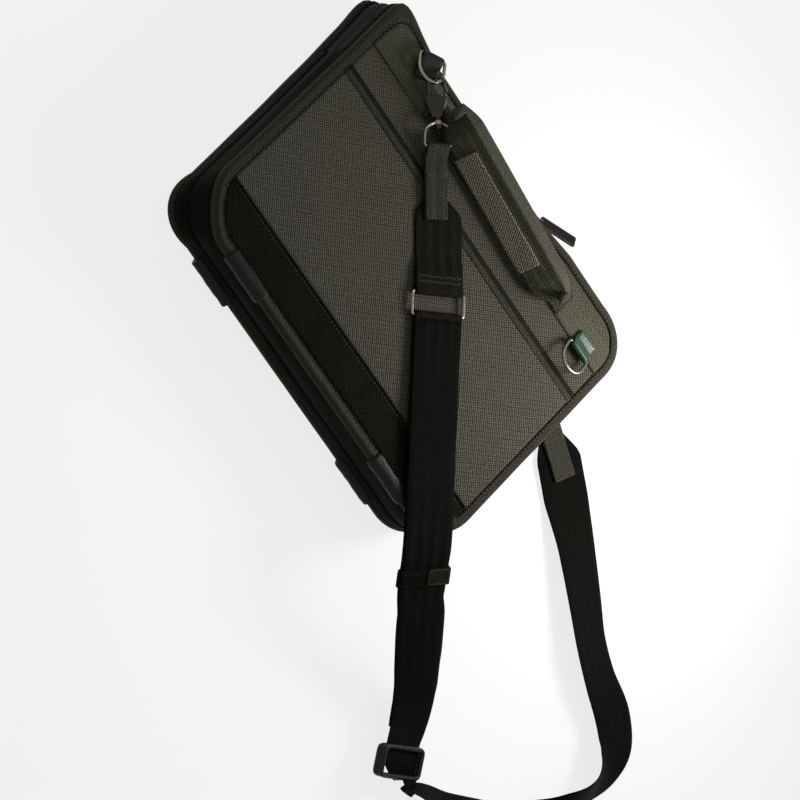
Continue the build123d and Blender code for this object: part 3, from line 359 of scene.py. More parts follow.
def curve_through(rows, step):
    """Catmull-Rom curve through rows of (x, y, z, tilt), resampled."""
    p = np.asarray(rows, float)
    p = np.vstack([2 * p[:1] - p[1:2], p, 2 * p[-1:] - p[-2:-1]])
    parts = []
    for k in range(1, len(p) - 2):
        four = p[k - 1:k + 3]
        knots = np.cumsum([0.0] + [max(np.linalg.norm(q[:3]), 0.01) ** 0.5 for q in np.diff(four, axis=0)])
        t = np.linspace(knots[1], knots[2], 12, endpoint=False)[:, None]

        def blend(a, b, i, j):
            return ((knots[j] - t) * a + (t - knots[i]) * b) / (knots[j] - knots[i])

        ab, bc, cd = (blend(four[i], four[i + 1], i, i + 1) for i in range(3))
        parts.append(blend(blend(ab, bc, 0, 2), blend(bc, cd, 1, 3), 1, 2))
    line = np.vstack(parts + [p[-2:-1]])
    run = lengths(line[:, :3])
    return even(line, run, max(2, int(run[-1] / step)))


def outline(inset, step=4.0):
    """Points and outward normals along the case outline, closed, from the bottom middle."""
    w, h, r = HALF_W - inset, HALF_H - inset, CORNER - inset
    sides = (((0, -h), (w - r, -h), (0, -1)), ((w, r - h), (w, h - r), (1, 0)),
             ((w - r, h), (r - w, h), (0, 1)), ((-w, h - r), (-w, r - h), (-1, 0)),
             ((r - w, -h), (0, -h), (0, -1)))
    points, normals = [], []
    for k, (a, b, out) in enumerate(sides):
        count = max(2, int(np.hypot(*np.subtract(b, a)) / step))
        for t in np.arange(count) / count:
            points.append(np.add(a, np.subtract(b, a) * t))
            normals.append(out)
        count = max(6, int(math.pi / 2 * CORNER / step)) if k < 4 else 0
        for t in np.arange(count):
            turn = rad(90 * (k - 1 + t / count))
            out_now = np.array([math.cos(turn), math.sin(turn)])
            points.append(np.subtract(b, np.multiply(out, r)) + r * out_now)
            normals.append(out_now)
    return looped(np.array(points, float)), looped(np.array(normals, float))


# ---- mesh helpers
def shown(name, data, at=None, turn=None):
    """New object in the scene; a lamp or camera has a place and a turn, as a quaternion."""
    obj = bpy.data.objects.new(name, data)
    if at:
        obj.location, obj.rotation_mode, obj.rotation_quaternion = at, "QUATERNION", turn
    bpy.context.scene.collection.objects.link(obj)
    return obj


def add_mesh(name, verts, faces, mat, corners=None):
    """A mesh object from points in millimetres; corners holds one uv per face corner."""
    mesh = bpy.data.meshes.new(name)
    mesh.from_pydata((np.asarray(verts, float) * MM).tolist(), [], faces)
    if corners is not None:
        layer = mesh.uv_layers.new(name="weave")
        layer.data.foreach_set("uv", np.asarray(corners, np.float32).ravel())
    mesh.polygons.foreach_set("use_smooth", [True] * len(mesh.polygons))
    mesh.materials.append(M[mat])
    mesh.validate()
    mesh.update()
    return shown(name, mesh)


def loft(name, rings, mat, around, run, caps=True, flip=False):
    """Skin through closed rings of points; around and run are its lengths across and along."""
    rings = np.asarray(rings)
    rows, cols = rings.shape[:2]
    spots = [[(i, j), (i, j + 1), (i + 1, j + 1), (i + 1, j)] for i in range(rows - 1) for j in range(cols)]
    if caps:
        spots.append([(0, j) for j in reversed(range(cols))])
        spots.append([(rows - 1, j) for j in range(cols)])
    if flip:
        spots = [face[::-1] for face in spots]
    faces = [[i * cols + j % cols for i, j in face] for face in spots]
    corners = [(around[j], run[i]) for face in spots for i, j in face]
    return add_mesh(name, rings.reshape(-1, 3), faces, mat, corners)


def edge_distance(x, y, w, h, r):
    """How far a point is inside a rounded rectangle."""
    qx, qy = np.abs(x) - (w - r), np.abs(y) - (h - r)
    outside = np.hypot(np.maximum(qx, 0), np.maximum(qy, 0))
    return r - (outside + np.minimum(np.maximum(qx, qy), 0))


def pad(name, shape, top, bottom, mat, count, edge, y_range=None, uv_turn=False):
    """Closed sewn panel inside a rounded rectangle: top and bottom are heights, or functions of x and y.

    shape is (half width, half height, corner radius, x middle, y middle); y_range may cut it off.
    """
    w, h, r, cx, cy = shape
    low, high = y_range or (cy - h, cy + h)
    ys = low + (spread(count[1]) + 1) / 2 * (high - low)
    inside = np.abs(ys - cy) - (h - r)
    half = np.where(inside > 0, w - r + np.sqrt(np.maximum(r * r - np.maximum(inside, 0) ** 2, 0)), w)
    half = np.maximum(half, w - r + 0.02)
    xs = cx + spread(count[0])[None, :] * half[:, None]
    yy = np.repeat(ys[:, None], count[0], axis=1)
    near = np.minimum(edge_distance(xs - cx, yy - cy, w, h, r), np.minimum(yy - low, high - yy))
    near = np.clip(near, 0, edge)
    drop = edge - np.sqrt(np.maximum(edge ** 2 - (edge - near) ** 2, 0))
    zt, zb = (z(xs, yy) if callable(z) else z for z in (top, bottom))
    zb = zb + np.minimum(drop, 0.4 * edge)
    zt = np.maximum(zt - drop, zb + 0.05)
    verts = np.vstack([np.dstack([xs, yy, z]).reshape(-1, 3) for z in (zt, zb)])
    uv = verts[:, [1, 0]] if uv_turn else verts[:, :2]
    n = xs.size
    index = np.arange(n).reshape(xs.shape)
    upper = np.stack([index[:-1, :-1], index[:-1, 1:], index[1:, 1:], index[1:, :-1]], -1).reshape(-1, 4)
    rim = np.concatenate([index[0, :-1], index[:-1, -1], index[-1, :0:-1], index[:0:-1, 0]])
    after = np.roll(rim, -1)
    faces = np.vstack([np.hstack([upper, n + upper[:, ::-1]]).reshape(-1, 4),
                       np.stack([rim, n + rim, n + after, after], 1)])
    return add_mesh(name, verts, faces.tolist(), mat, uv[faces])


def crowned(z, rise, shape):
    """A height that rises towards the middle of a rounded rectangle."""
    w, h, r, cx, cy = shape

    def height(x, y):
        fx = np.clip(np.abs(x - cx) / w, 0, 1)
        fy = np.clip(np.abs(y - cy) / h, 0, 1)
        return z + rise * (1 - fx ** 4) * (1 - fy ** 3)
    return height


def web(name, centre, across, normal, width, thick, mat, share=1.0, caps=True):
    """Webbing along a line of points; share is how much of its width is left at each."""
    across, normal = (np.broadcast_to(a, centre.shape)[:, None, :] for a in (across, normal))
    t = spread(13, 0.8)
    top = np.stack([t * width / 2, 0.5 * thick * np.sqrt(np.maximum(1 - np.abs(t) ** 8, 0))], 1)
    section = np.vstack([top, (top * (1, -1))[-2:0:-1]])
    wide = section[:, :1] * np.broadcast_to(share, len(centre))[:, None, None]
    points = centre[:, None, :] + across * wide + normal * section[:, 1:]
    return loft(name, points, mat, lengths(looped(section)), lengths(centre), caps)


def tube(name, path, radius, mat, sides=12, closed=False):
    """Round wire along points; radius may be a list."""
    path = np.asarray(path, float)
    radii = np.broadcast_to(np.asarray(radius, float), (len(path),))
    ahead = np.roll(path, -1, 0) - np.roll(path, 1, 0)
    if not closed:
        ahead[0], ahead[-1] = path[1] - path[0], path[-1] - path[-2]
    ahead = unit(ahead)
    side = unit(np.cross(ahead[0], UP))
    turn = circle(sides)[:, None]
    rings = []
    for p, a, r in zip(path, ahead, radii):
        side = unit(side - a * np.dot(side, a))
        rings.append(p + r * (np.cos(turn) * side + np.sin(turn) * np.cross(a, side)))
    if closed:
        rings.append(rings[0])
        path = looped(path)
    around = np.linspace(0, 2 * math.pi * float(radii[0]), sides + 1)
    return loft(name, rings, mat, around, lengths(path), caps=not closed)


def prism_faces(base, rings, sides, flip=False):
    """Faces of a closed prism whose rings of points start at vertex base."""
    faces = []
    for start in range(base, base + (rings - 1) * sides, sides):
        for j in range(sides):
            a, b = start + j, start + (j + 1) % sides
            faces.append((a, b, b + sides, a + sides))
    faces.append(tuple(base + j for j in reversed(range(sides))))
    faces.append(tuple(base + (rings - 1) * sides + j for j in range(sides)))
    return [face[::-1] for face in faces] if flip else faces


def reshaped(obj, change):
    """Move a mesh's points by a function of their places in millimetres."""
    co = np.empty(len(obj.data.vertices) * 3, np.float32)
    obj.data.vertices.foreach_get("co", co)
    places = change(co.reshape(-1, 3).astype(float) / MM) * MM
    obj.data.vertices.foreach_set("co", places.astype(np.float32).ravel())
    obj.data.update()
    return obj


def moved(obj, origin, *axes):
    """Put a mesh that was made round the origin into a frame."""
    return reshaped(obj, lambda points: np.asarray(origin) + points @ np.array(axes, float))


def dress(mat, bevel, *nodes):
    """CAD nodes that stay get their material, and a small bevel if they are rigid blocks."""
    for node in nodes:
        obj = NODES[node]
        obj.data.materials.clear()
        obj.data.materials.append(M[mat])
        if bevel:
            mod = obj.modifiers.new("edge", "BEVEL")
            mod.width, mod.segments, mod.limit_method, mod.angle_limit = bevel * MM, 2, "ANGLE", rad(40)


def place(obj, body, slot=None, *nodes):
    """Attach a piece to its body, and let it stand for CAD nodes, which it hides. slot is not used."""
    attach(obj, body)
    if nodes:
        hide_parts(*nodes)
    return obj


# ---- sewing
STITCH = ((-1.0, -0.35), (-0.72, 0.2), (0.0, 0.55), (0.72, 0.2), (1.0, -0.35))  # (along, lift)


def sew(name, body, lines, mat, dash, gap, radius):
    """Sewn thread along lines; each line is (points, normals) on the cloth's surface."""
    verts, faces = [], []
    turn = circle(6)[:, None]
    for points, normals in lines:
        normals = np.broadcast_to(normals, points.shape)
        run = lengths(points)
        for k in range(int(run[-1] / (dash + gap))):
            mid = (k + 0.5) * (dash + gap)
            a, b, up = (np.array([np.interp(at, run, column) for column in rows.T]) for at, rows in (
                (mid - dash / 2, points), (mid + dash / 2, points), (mid, normals)))
            along, up = unit(b - a), unit(up)
            side = np.cross(up, along)
            faces += prism_faces(len(verts), len(STITCH), 6)
            for t, lift in STITCH:
                centre = (a + b) / 2 + along * t * dash / 2 + up * lift * radius * 1.4
                size = radius * (0.55 if abs(t) == 1 else 1.0)
                verts += list(centre + size * (np.cos(turn) * side + np.sin(turn) * up))
    place(add_mesh(name, verts, faces, mat), body)


def seam(a, b, up):
    """Line to sew from a to b on cloth whose normal is up."""
    return resample([a, b], 1.0), up


def box_seams(origin, ex, ey, low, high, half, up, crossed=False):
    """Lines round a box from low to high along ex and half to each side along ey."""
    c = [origin + a * ex + b * ey for a, b in ((low, -half), (high, -half), (high, half), (low, half))]
    pairs = ((0, 1), (1, 2), (2, 3), (3, 0)) + (((0, 2), (1, 3)) if crossed else ())
    return [seam(c[a], c[b], up) for a, b in pairs]


# ---- panels
INSET = 0.6  # linings lie this far inside the panels
COVER = (PANEL_W, PANEL_H, PANEL_R, 0.0, 0.0)
LINING = (PANEL_W - INSET, PANEL_H - INSET, PANEL_R - INSET, 0.0, 0.0)
POCKET = (189.0, 75.4, 0.5, 0.0, -23.5)
BOOT = (189.0, PANEL_H - 1.5, PANEL_R, 0.0, 0.0)
BAND = (189.0, PANEL_H - 1.4, PANEL_R - 1.4, 0.0, 0.0)
BAND_Y = (92.5, 121.5)
ON_COVER = FRONT_Z + 0.05  # underside of what is sewn on the cover
BOOT_Z, STRIP_LOW_Z, STRIP_HIGH_Z = 73.8, 75.1, 74.15

place(pad("cover_pad", COVER, crowned(FRONT_Z - 0.2, 0.5, COVER), FRONT_IN_Z,
                    "ballistic", (81, 61), 1.6),
                "cover", "ballistic_weave", "front_panel", "front_foam", "front_board")
place(pad("cover_lining", LINING, FRONT_IN_Z - 0.05, FRONT_IN_Z - 0.5, "lining", (31, 25), 0.3),
      "cover", "lining", "front_lining")
place(pad("back_pad", COVER, BACK_IN_Z, crowned(BACK_Z, -0.4, COVER), "gusset", (81, 61), 1.6),
                "shell", "plain_weave", "back_panel", "back_foam", "back_board")
place(pad("back_lining_cloth", LINING, BACK_IN_Z + 0.4, BACK_IN_Z - 0.1, "lining", (31, 25), 0.3),
      "shell", "lining", "back_lining")


def pocket_height(x, y):
    """Front pocket: taut at its seams, a little slack towards the middle of the mouth."""
    wave = 0.45 * np.sin(x / 47.0 + 0.8) * np.cos(y / 31.0 + x / 90.0)
    return crowned(74.2, 1.3, POCKET)(x, y) + wave


place(pad("pocket_cloth", POCKET, pocket_height, ON_COVER, "ballistic", (121, 61), 1.1, (-99.0, 52.0)),
      "cover", "ballistic_weave", "front_pocket")
place(pad("boot_cloth", BOOT, crowned(BOOT_Z, 0.4, (189, 19, 1, 0, -118)), ON_COVER, "boot", (101, 15), 0.9,
          (-137.6, -99.4)), "cover", "coarse_twill", "front_boot")
xs = np.linspace(-188.6, 188.6, 120)
place(tube("boot_piping", track(xs, -99.2, 74.2 + 0.12 * np.sin(xs / 9.0)), 1.25, "binding", 8), "cover")
place(pad("strip_binding", (189.4, 4.0, 0.4, 0, 54.6), STRIP_LOW_Z, FRONT_Z + 0.1, "binding", (101, 9), 0.9,
          (51.0, 57.2), True), "cover")
place(pad("strip_webbing", (189.2, 4.0, 0.4, 0, 59.4), STRIP_HIGH_Z, FRONT_Z + 0.1, "trim", (101, 7), 0.5,
          (56.6, 62.6), True), "cover", "webbing", "pocket_strip")
place(pad("band_webbing", BAND, FRONT_BAND_Z, ON_COVER, "webbing", (121, 13), 0.5, BAND_Y, True),
      "cover", "webbing", "front_band")
place(pad("back_band_webbing", BAND, BACK_Z - 0.05, BACK_BAND_Z, "webbing", (121, 13), 0.5, BAND_Y, True),
      "shell", "webbing", "back_band")


def panel_seam(y, z, half):
    """Line to sew across the cover."""
    return track(np.arange(-half, half, 2.0), y, z + 0.05), UP


sew("front_panel_stitches", "cover", [panel_seam(54.1, STRIP_LOW_Z, 186), panel_seam(94.3, FRONT_BAND_Z, 184),
                                      panel_seam(119.7, FRONT_BAND_Z, 172)], "thread", 3.0, 1.4, 0.3)
sew("boot_stitches", "cover", [panel_seam(-103.2, BOOT_Z, 184)], "thread", 2.8, 1.3, 0.24)


# ---- bindings and guards
GUARD_X, GUARD_HALF, GUARD_R = 115.3, 25.0, 7.75


def guard(name, mid_x, z, body, side, bulge, node):
    """Leather sleeve wrapped round the bottom binding, sewn along its inner edge."""
    count = 27
    xs = mid_x + spread(count, 0.6) * GUARD_HALF
    turn = circle(30)
    c, s = np.cos(turn), np.sin(turn)
    rings = []
    for k, x in enumerate(xs):
        end = min(k, count - 1 - k)
        radius = GUARD_R - (1.1 if end == 0 else 0.25 if end == 1 else 0.0)
        radius += 0.18 * math.sin(x * 0.21) + 0.12 * math.sin(x * 0.53 + 1)
        across = radius * (1 + 0.05 * np.cos(turn * 2)) * c
        flat = np.minimum(1.0, 7.1 / (radius * np.maximum(np.abs(s), 0.5)))
        out = bulge * np.clip(-c, 0, 1) * (0.4 if end == 0 else 1.0)
        rings.append(track(x, HINGE_Y + across - out, z + radius * flat * s))
    place(loft(name, rings, "leather", np.linspace(0, 2 * math.pi * 7.8, 31), xs), body, "leather", node)
    line = track(np.arange(mid_x - 22, mid_x + 22.1, 1.5), HINGE_Y + 5.6, z + side * 5.6)
    sew(name + "_stitches", body, [(line, (0, 0.7, side * 0.7))], "dark_thread", 2.4, 1.1, 0.26)


roll = oval(5.4, 5.1, 0.8, 0.8, 20)
for tag, body, side, z, bulges in (("front", "cover", 1, FRONT_PIPE_Z, (0.0, 0.0)),
                                   ("back", "shell", -1, BACK_PIPE_Z, (2.4, 0.8))):
    points, normals = outline(PIPE_IN)
    rings = []
    for p, n in zip(points, normals):
        soft = 0.5 * waver(p[0] * 0.02, p[1] * 0.02, z * 0.1)
        rings.append(np.column_stack([p + n * (roll[:, :1] + soft), z + roll[:, 1] + 0.4 * soft]))
    place(loft(tag + "_binding_tape", rings, "binding", lengths(looped(roll)), lengths(points), caps=False),
          body, "binding", tag + "_binding")
    points, normals = outline(PIPE_IN, 3.0)
    line = at_height(points - normals * 3.4, z + side * 4.75)
    sew(tag + "_binding_stitches", body, [(line, at_height(-normals * 0.3, side))], "thread", 3.0, 1.4, 0.3)
    for where, x, bulge in (("_left", -GUARD_X, bulges[0]), ("_right", GUARD_X, bulges[1])):
        guard(tag + where + "_guard", x, z, body, side, bulge, tag + "_guards")


# ---- gusset and zip
def below_zip(points):
    """Indices of the outline's points from one end of the zip round the bottom to the other."""
    order = [k for k in range(len(points) - 1) if points[k][1] <= ZIP_END_Y + 0.5]
    start = next(i for i, k in enumerate(order) if i and k != order[i - 1] + 1)
    return order[start:] + order[:start]


def beside_zip(points):
    return [k for k in range(len(points) - 1) if points[k][1] >= ZIP_END_Y - 2.0]


def cloth_wall(name, span, z0, z1, inset, bulge, thick, mat, wobble, count):
    """Cloth wall between two heights along part of the outline."""
    t = np.linspace(0, 1, count)
    out, zs = bulge * np.sin(math.pi * t) - inset, z0 + (z1 - z0) * t
    weight = np.sin(math.pi * t) * wobble
    out, zs = np.concatenate([out, out[::-1] - thick]), np.concatenate([zs, zs[::-1]])
    weight = np.concatenate([weight, weight[::-1]])
    points, normals = outline(0.0)
    order = span(points)
    rings = []
    for p, n in zip(points[order], normals[order]):
        soft = np.array([waver(p[0] * 0.016, p[1] * 0.016, q * 0.05) for q in zs])
        rings.append(np.column_stack([p + n * (out + soft * weight)[:, None], zs]))
    around = lengths(looped(np.column_stack([out, zs])))
    return loft(name, rings, mat, around, lengths(points[order]))


lower_wall = cloth_wall("gusset_lower", below_zip, BACK_IN_Z, SEAM_Z, 1.0, 0.9, 5.6, "gusset", 0.9, 9)
place(lower_wall, "shell", "plain_weave", "gusset", "gusset_foam", "gusset_lining")
upper_wall = cloth_wall("gusset_upper", below_zip, SEAM_Z, FRONT_IN_Z, 1.0, 1.4, 5.6, "gusset", 1.5, 15)
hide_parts("gusset")
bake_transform(upper_wall)
points, normals = outline(1.0)
ridge = at_height((points + normals * 0.2)[below_zip(points)], SEAM_Z)
place(tube("gusset_seam_ridge", ridge, 1.25, "gusset", 8), "shell")

RIB = ((0.7, 0.0), (0.9, 0.5), (1.15, 1.2), (1.0, 2.2), (0.6, 2.6))  # (half thickness, reach)
RIB_HALF, RIB_PITCH = 0.42, 1.9
for tag, side, body, edge in (("front", 1, "cover", FRONT_IN_Z - 0.1),
                              ("rear", -1, "shell", BACK_IN_Z + 0.1)):
    low, high = sorted((ZIP_Z + side * 12.1, edge))
    place(cloth_wall("zip_edge_cloth_" + tag, beside_zip, low, high, 1.0, 0.8, 2.2, "gusset", 0.5, 7),
          body, "plain_weave", "zip_edge_" + tag)
    low, high = sorted((ZIP_Z + side * 2.2, ZIP_Z + side * 12.4))
    place(cloth_wall("zip_tape_" + tag, beside_zip, low, high, 1.7, 0.2, 0.9, "tape", 0.2, 5),
          body, "zip_tape", "zip_" + tag)
    points, normals = outline(WALL_MID, 1.0)
    keep = points[:, 1] >= ZIP_END_Y + 0.3
    verts, faces = [], []
    for m in resample(np.column_stack([points[keep], normals[keep]]), RIB_PITCH):
        n = unit(m[2:])
        t = left_of(n)[:2]
        faces += prism_faces(len(verts), len(RIB), 4, side < 0)
        for thick, reach in RIB:
            for a, b in ((-1, -thick), (1, -thick), (1, thick), (-1, thick)):
                q = m[:2] + t * (a * RIB_HALF + RIB_PITCH / 4 * side) + n * b
                verts.append((*q, ZIP_Z + side * (0.55 + reach)))
    place(add_mesh("zip_coil_" + tag, verts, faces, "coil"), body)
    points, normals = outline(0.9, 3.0)
    keep = points[:, 1] >= ZIP_END_Y + 2
    line = at_height(points[keep], ZIP_Z + side * 13.6)
    sew("zip_stitches_" + tag, body, [(line, at_height(normals[keep], 0))], "dark_thread", 2.6, 1.3, 0.26)
dress("cast", 0.35, "left_slider", "right_slider")


# ---- rear pocket and divider
REAR = (172.0, 92.0, 18.0, 0.0, -36.0)
REAR_MOUTH_Y = 44.0


def rear_top(x, y):
    return np.where(y > REAR_MOUTH_Y, 4.2, 14.9)


def rear_bottom(x, y):
    return 0.25 + 0.9 * (1 - np.clip(edge_distance(x, y - REAR[4], *REAR[:3]) / 26.0, 0, 1)) ** 2


place(pad("rear_pocket_pad", REAR, rear_top, rear_bottom, "gusset", (81, 41), 3.0),
                "shell", "plain_weave", "rear_pocket")
place(pad("divider_pad", (192.4, 141.4, 39.4, 0, 0), 52.6, 48.8, "lining", (41, 31), 1.6,
                    (-141.4, 84.0)),
                "shell", "lining", "laptop_divider")


# ---- how the soft case has settled
def eased(t):
    t = np.clip(t, 0, 1)
    return t * t * (3 - 2 * t)


def settle(points):
    """Where the soft shell and cover lie: drooped top edge, bulged side, drawn-out left corners."""
    x, y, z = points.T.copy()
    moved_to = points.copy()
    droop = np.interp(x, (-190, -165, -130, 45, 92, 150, 195), (0.0, 0.5, 1.0, 1.0, 0.45, 0.45, 0.1))
    amount = droop * eased((y - 116.0) / 33.0) * np.clip((z - 46.0) / 24.0, 0, 1)
    moved_to[:, 1] -= 7.0 * amount
    moved_to[:, 2] -= 9.0 * amount
    side_x, side_y = HALF_W - CORNER, HALF_H - CORNER
    rel_x = -side_x - x

    rel_y = y - side_y  # top left corner: squarer
    angle = np.arctan2(np.maximum(rel_y, 1e-6), np.maximum(rel_x, 1e-6))
    square = (np.cos(angle) ** 7 + np.sin(angle) ** 7) ** (-1 / 7.0) - 1
    share = np.clip(np.hypot(rel_x, rel_y) / CORNER, 0, 1.2) ** 1.5 * np.interp(z, (20, 70), (1.3, 1.0))
    grow = np.where((rel_x > 0) & (rel_y > 0), square * share, 0.0)
    moved_to[:, 0] -= rel_x * grow
    moved_to[:, 1] += rel_y * grow

    rel_y = -side_y - y  # bottom left corner: out at the back, in at the front
    rho = np.hypot(rel_x, rel_y)
    angle = np.arctan2(np.maximum(rel_y, 0), np.maximum(rel_x, 1e-6))
    bump = np.where((rel_x > 0) & (rel_y > 0), np.sin(2 * angle), 0.0)
    reach = np.interp(z, (18.0, 70.0), (8.5, -6.0)) * bump ** 1.2 * np.clip(rho / CORNER, 0, 1.2) ** 2
    moved_to[:, 0] -= reach * rel_x / np.maximum(rho, 1.0)
    moved_to[:, 1] -= reach * rel_y / np.maximum(rho, 1.0)

    bulge = eased((-150.0 - x) / 45.0) * np.interp(y, (-110, 0, 60, 125), (0.8, 2.6, 4.5, 8.0))
    moved_to[:, 0] -= bulge * np.interp(z, (30.0, 72.0), (1.0, 0.2))
    return moved_to


for obj in bpy.context.scene.objects:
    if obj.type == "MESH" and obj.name not in NODES:
        reshaped(obj, settle)

# ---- CAD nodes that stay
dress("webbing", 0, "hold_anchor", "hold_strap")
dress("wire", 0, "front_left_ring", "front_right_ring", "rear_left_ring", "rear_right_ring", "front_eye",
      "rear_eye", "rect_loop")
dress("cast", 0.3, "front_hook", "rear_hook", "front_gate", "rear_gate")


# ---- folded webbing: loops and tabs
def folded_loop(name, bar, angle, width, thick, bar_r, run, tail, seat, mat, body, slot, node):
    """Strip folded round a bar: up over it and back under, then sewn flat along angle."""
    flat = flat_dir(angle)
    side = left_of(flat)
    r = bar_r + 0.2 + thick / 2
    rest = seat - bar[2]
    sign = 1.0 if rest < 0 else -1.0
    upper, lower = rest + sign * thick * 1.5, rest + sign * thick * 0.5
    path = [(run + tail, upper), (run + tail * 0.5, upper), (run, upper),
            (run * 0.5, (upper + r * sign) / 2), (0.6, r * sign)]
    path += [(-r * math.sin(a), sign * r * math.cos(a)) for a in np.linspace(0.2, math.pi - 0.2, 9)]
    path += [(0.6, -r * sign), (run * 0.5, (lower - r * sign) / 2), (run, lower), (run + tail, lower)]
    line = smooth_path(path, 0.9)
    plane = np.array([flat, UP])
    strap = web(name, bar + line @ plane, side, left_normals(line) @ plane * -sign, width, thick, mat)
    place(strap, body, slot, node)
    return flat, side, np.array([bar[0], bar[1], bar[2] + upper + sign * thick / 2])


# ring: its bar, the strip's angle and run, where it is sewn down, its thickness, its body and leather
RINGS = {
    "front_left": ((-144.8, 133.3, 79.0), -60.0, 13.0, FRONT_BAND_Z, 1.5, "cover", "leather"),
    # the front right loop's lighter green leather is painted highlight
    "front_right": ((160.0, 89.5, 78.4), 90.0, 8.0, FRONT_BAND_Z, 1.5, "cover", "green_leather_painted_sheen"),
    "rear_left": ((-155.0, 88.0, 5.0), 90.0, 10.0, BACK_BAND_Z, 1.2, "shell", "leather"),
    "rear_right": ((134.8, 92.3, 4.6), 150.0, 10.0, BACK_BAND_Z, 1.2, "shell", "leather"),
}
for tag, (bar, angle, run, seat, thick, body, mat) in RINGS.items():
    flat, side, top = folded_loop(tag + "_loop_strip", bar, angle, 23.6, thick, 1.6, run, 9.0, seat, mat,
                                  body, "leather", tag + "_loop")
    up = UP if body == "cover" else -UP
    lines = [seam(top + flat * (run + a) + side * b, top + flat * (run + c) + side * d, up)
             for a, b, c, d in ((0.5, -9.5, 8.2, -9.5), (0.5, 9.5, 8.2, 9.5), (7.6, -9.5, 7.6, 9.5))]
    sew(tag + "_loop_stitches", body, lines, "dark_thread", 2.0, 1.0, 0.25)

# the bars of the two swivel eyes, which the tabs are folded round
for tag, bar, angle, seat, body in (("front", (-82.075, 83.497, 83.076), -39.6, 77.35, "cover"),
                                    ("rear", (212.024, 66.024, 6.718), -20.0, 4.3, "shell")):
    flat, side, top = folded_loop(tag + "_tab_web", bar, angle, 24.8, 1.5, 1.4, 12.0, 54.0, seat, "tab",
                                  body, "webbing", tag + "_tab")
    lines = box_seams(top + 0.05 * UP, flat, side, 26.5, 64.4, 10.8, UP)
    sew(tag + "_tab_stitches", body, lines, "thread", 2.4, 1.1, 0.3)


# ---- shoulder strap
STRAP_W, WEB_T = 52.0, 1.8
RECT = np.array([27.6, -6.8, 79.3])  # middle of the rectangular loop
RUN_DIR = flat_dir(-43.5)
RUN_SIDE = left_of(RUN_DIR)
# (x, y, z, tilt in degrees) of the upper layer's middle, from the case's edge round to the rear tab
STATIONS = np.array((
    (140.1, -113.8, 80.2, 0.0), (178.5, -150.3, 80.2, 0.0), (191.0, -161.6, 78.2, 0.0),
    (197.1, -166.24, 75.53, 0.0), (206.5, -173.4, 71.4, 0.0), (216.1, -180.2, 67.27, 0.0),
    (222.6, -184.5, 64.6, 0.0), (233.9, -190.1, 59.2, 2.0), (252.6, -199.6, 50.0, 3.0),
    (275.9, -211.0, 38.2, 1.0), (298.4, -222.9, 26.6, -5.0), (315.9, -237.7, 20.2, -12.0),
    (325.0, -248.6, 17.6, -17.5), (328.5, -254.4, 17.2, -20.0), (334.8, -263.4, 17.0, -20.0),
    (342.9, -273.6, 16.8, -20.0), (352.8, -285.3, 14.1, -22.8), (356.2, -285.7, 17.7, -33.8),
    (364.0, -287.3, 26.7, -82.0), (385.8, -276.3, 26.3, -55.1), (413.8, -263.6, 25.4, -45.4),
    (442.5, -241.4, 27.3, -46.8), (474.1, -220.9, 24.6, -36.0), (496.4, -194.6, 17.8, 5.2),
    (506.0, -163.1, 18.5, 37.1), (510.0, -130.8, 21.6, 51.3), (507.4, -101.3, 18.0, 28.1),
    (499.4, -82.0, 15.6, 14.7), (479.7, -63.1, 10.5, 13.1), (443.4, -51.0, 10.2, 19.4),
    (408.3, -36.0, 10.7, 20.6), (376.2, -16.1, 9.2, 17.0), (346.9, 1.9, 7.6, 13.5),
    (324.7, 15.2, 6.1, 10.0), (306.0, 25.2, 4.8, 5.0), (290.0, 33.8, 3.4, 0.0),
    (274.0, 42.2, 3.4, 0.0), (258.0, 50.6, 3.4, 0.0),
))
KEEPER_AT, ADJUSTER_AT, LOWER_TO = 4, 15, 13  # stations of the keeper, adjuster and lower layer's end


def strap_frames(rows):
    """Directions across, out of and along the webbing at (x, y, z, tilt) rows."""
    ahead = unit(np.gradient(rows[:, :3], axis=0))
    side = unit(np.cross(UP, ahead))
    tilt = np.radians(rows[:, 3:4])
    across = side * np.cos(tilt) + np.cross(ahead, side) * np.sin(tilt)
    return across, np.cross(ahead, across), ahead


def station(index):
    """Place of a station, and the directions across, out of and along the webbing there."""
    return STATIONS[index, :3], *(rows[index] for rows in strap_frames(STATIONS))


def strap_piece(name, rows, offset, step, slip=0.0, pinch=()):
    """Webbing through (x, y, z, tilt) rows; slip moves its middle part sideways.

    pinch lists (row, share of the width that is left there), gathered towards the + side.
    """
    points = curve_through(rows, step)
    across, out, _ = strap_frames(points)
    run = lengths(points[:, :3])
    share = np.ones(len(run))
    if pinch:
        stops = [run[np.argmin(np.linalg.norm(points[:, :3] - rows[k][:3], axis=1))] for k, _ in pinch]
        share = np.interp(run, stops, [left for _, left in pinch])
    middle = np.clip(np.minimum(run, run[-1] - run) / 40.0, 0, 1) ** 2
    aside = slip * middle + (1 - share) * STRAP_W / 2
    centre = points[:, :3] + out * offset + across * aside[:, None]
    return web(name, centre, across, out, STRAP_W, WEB_T, "strap", share)


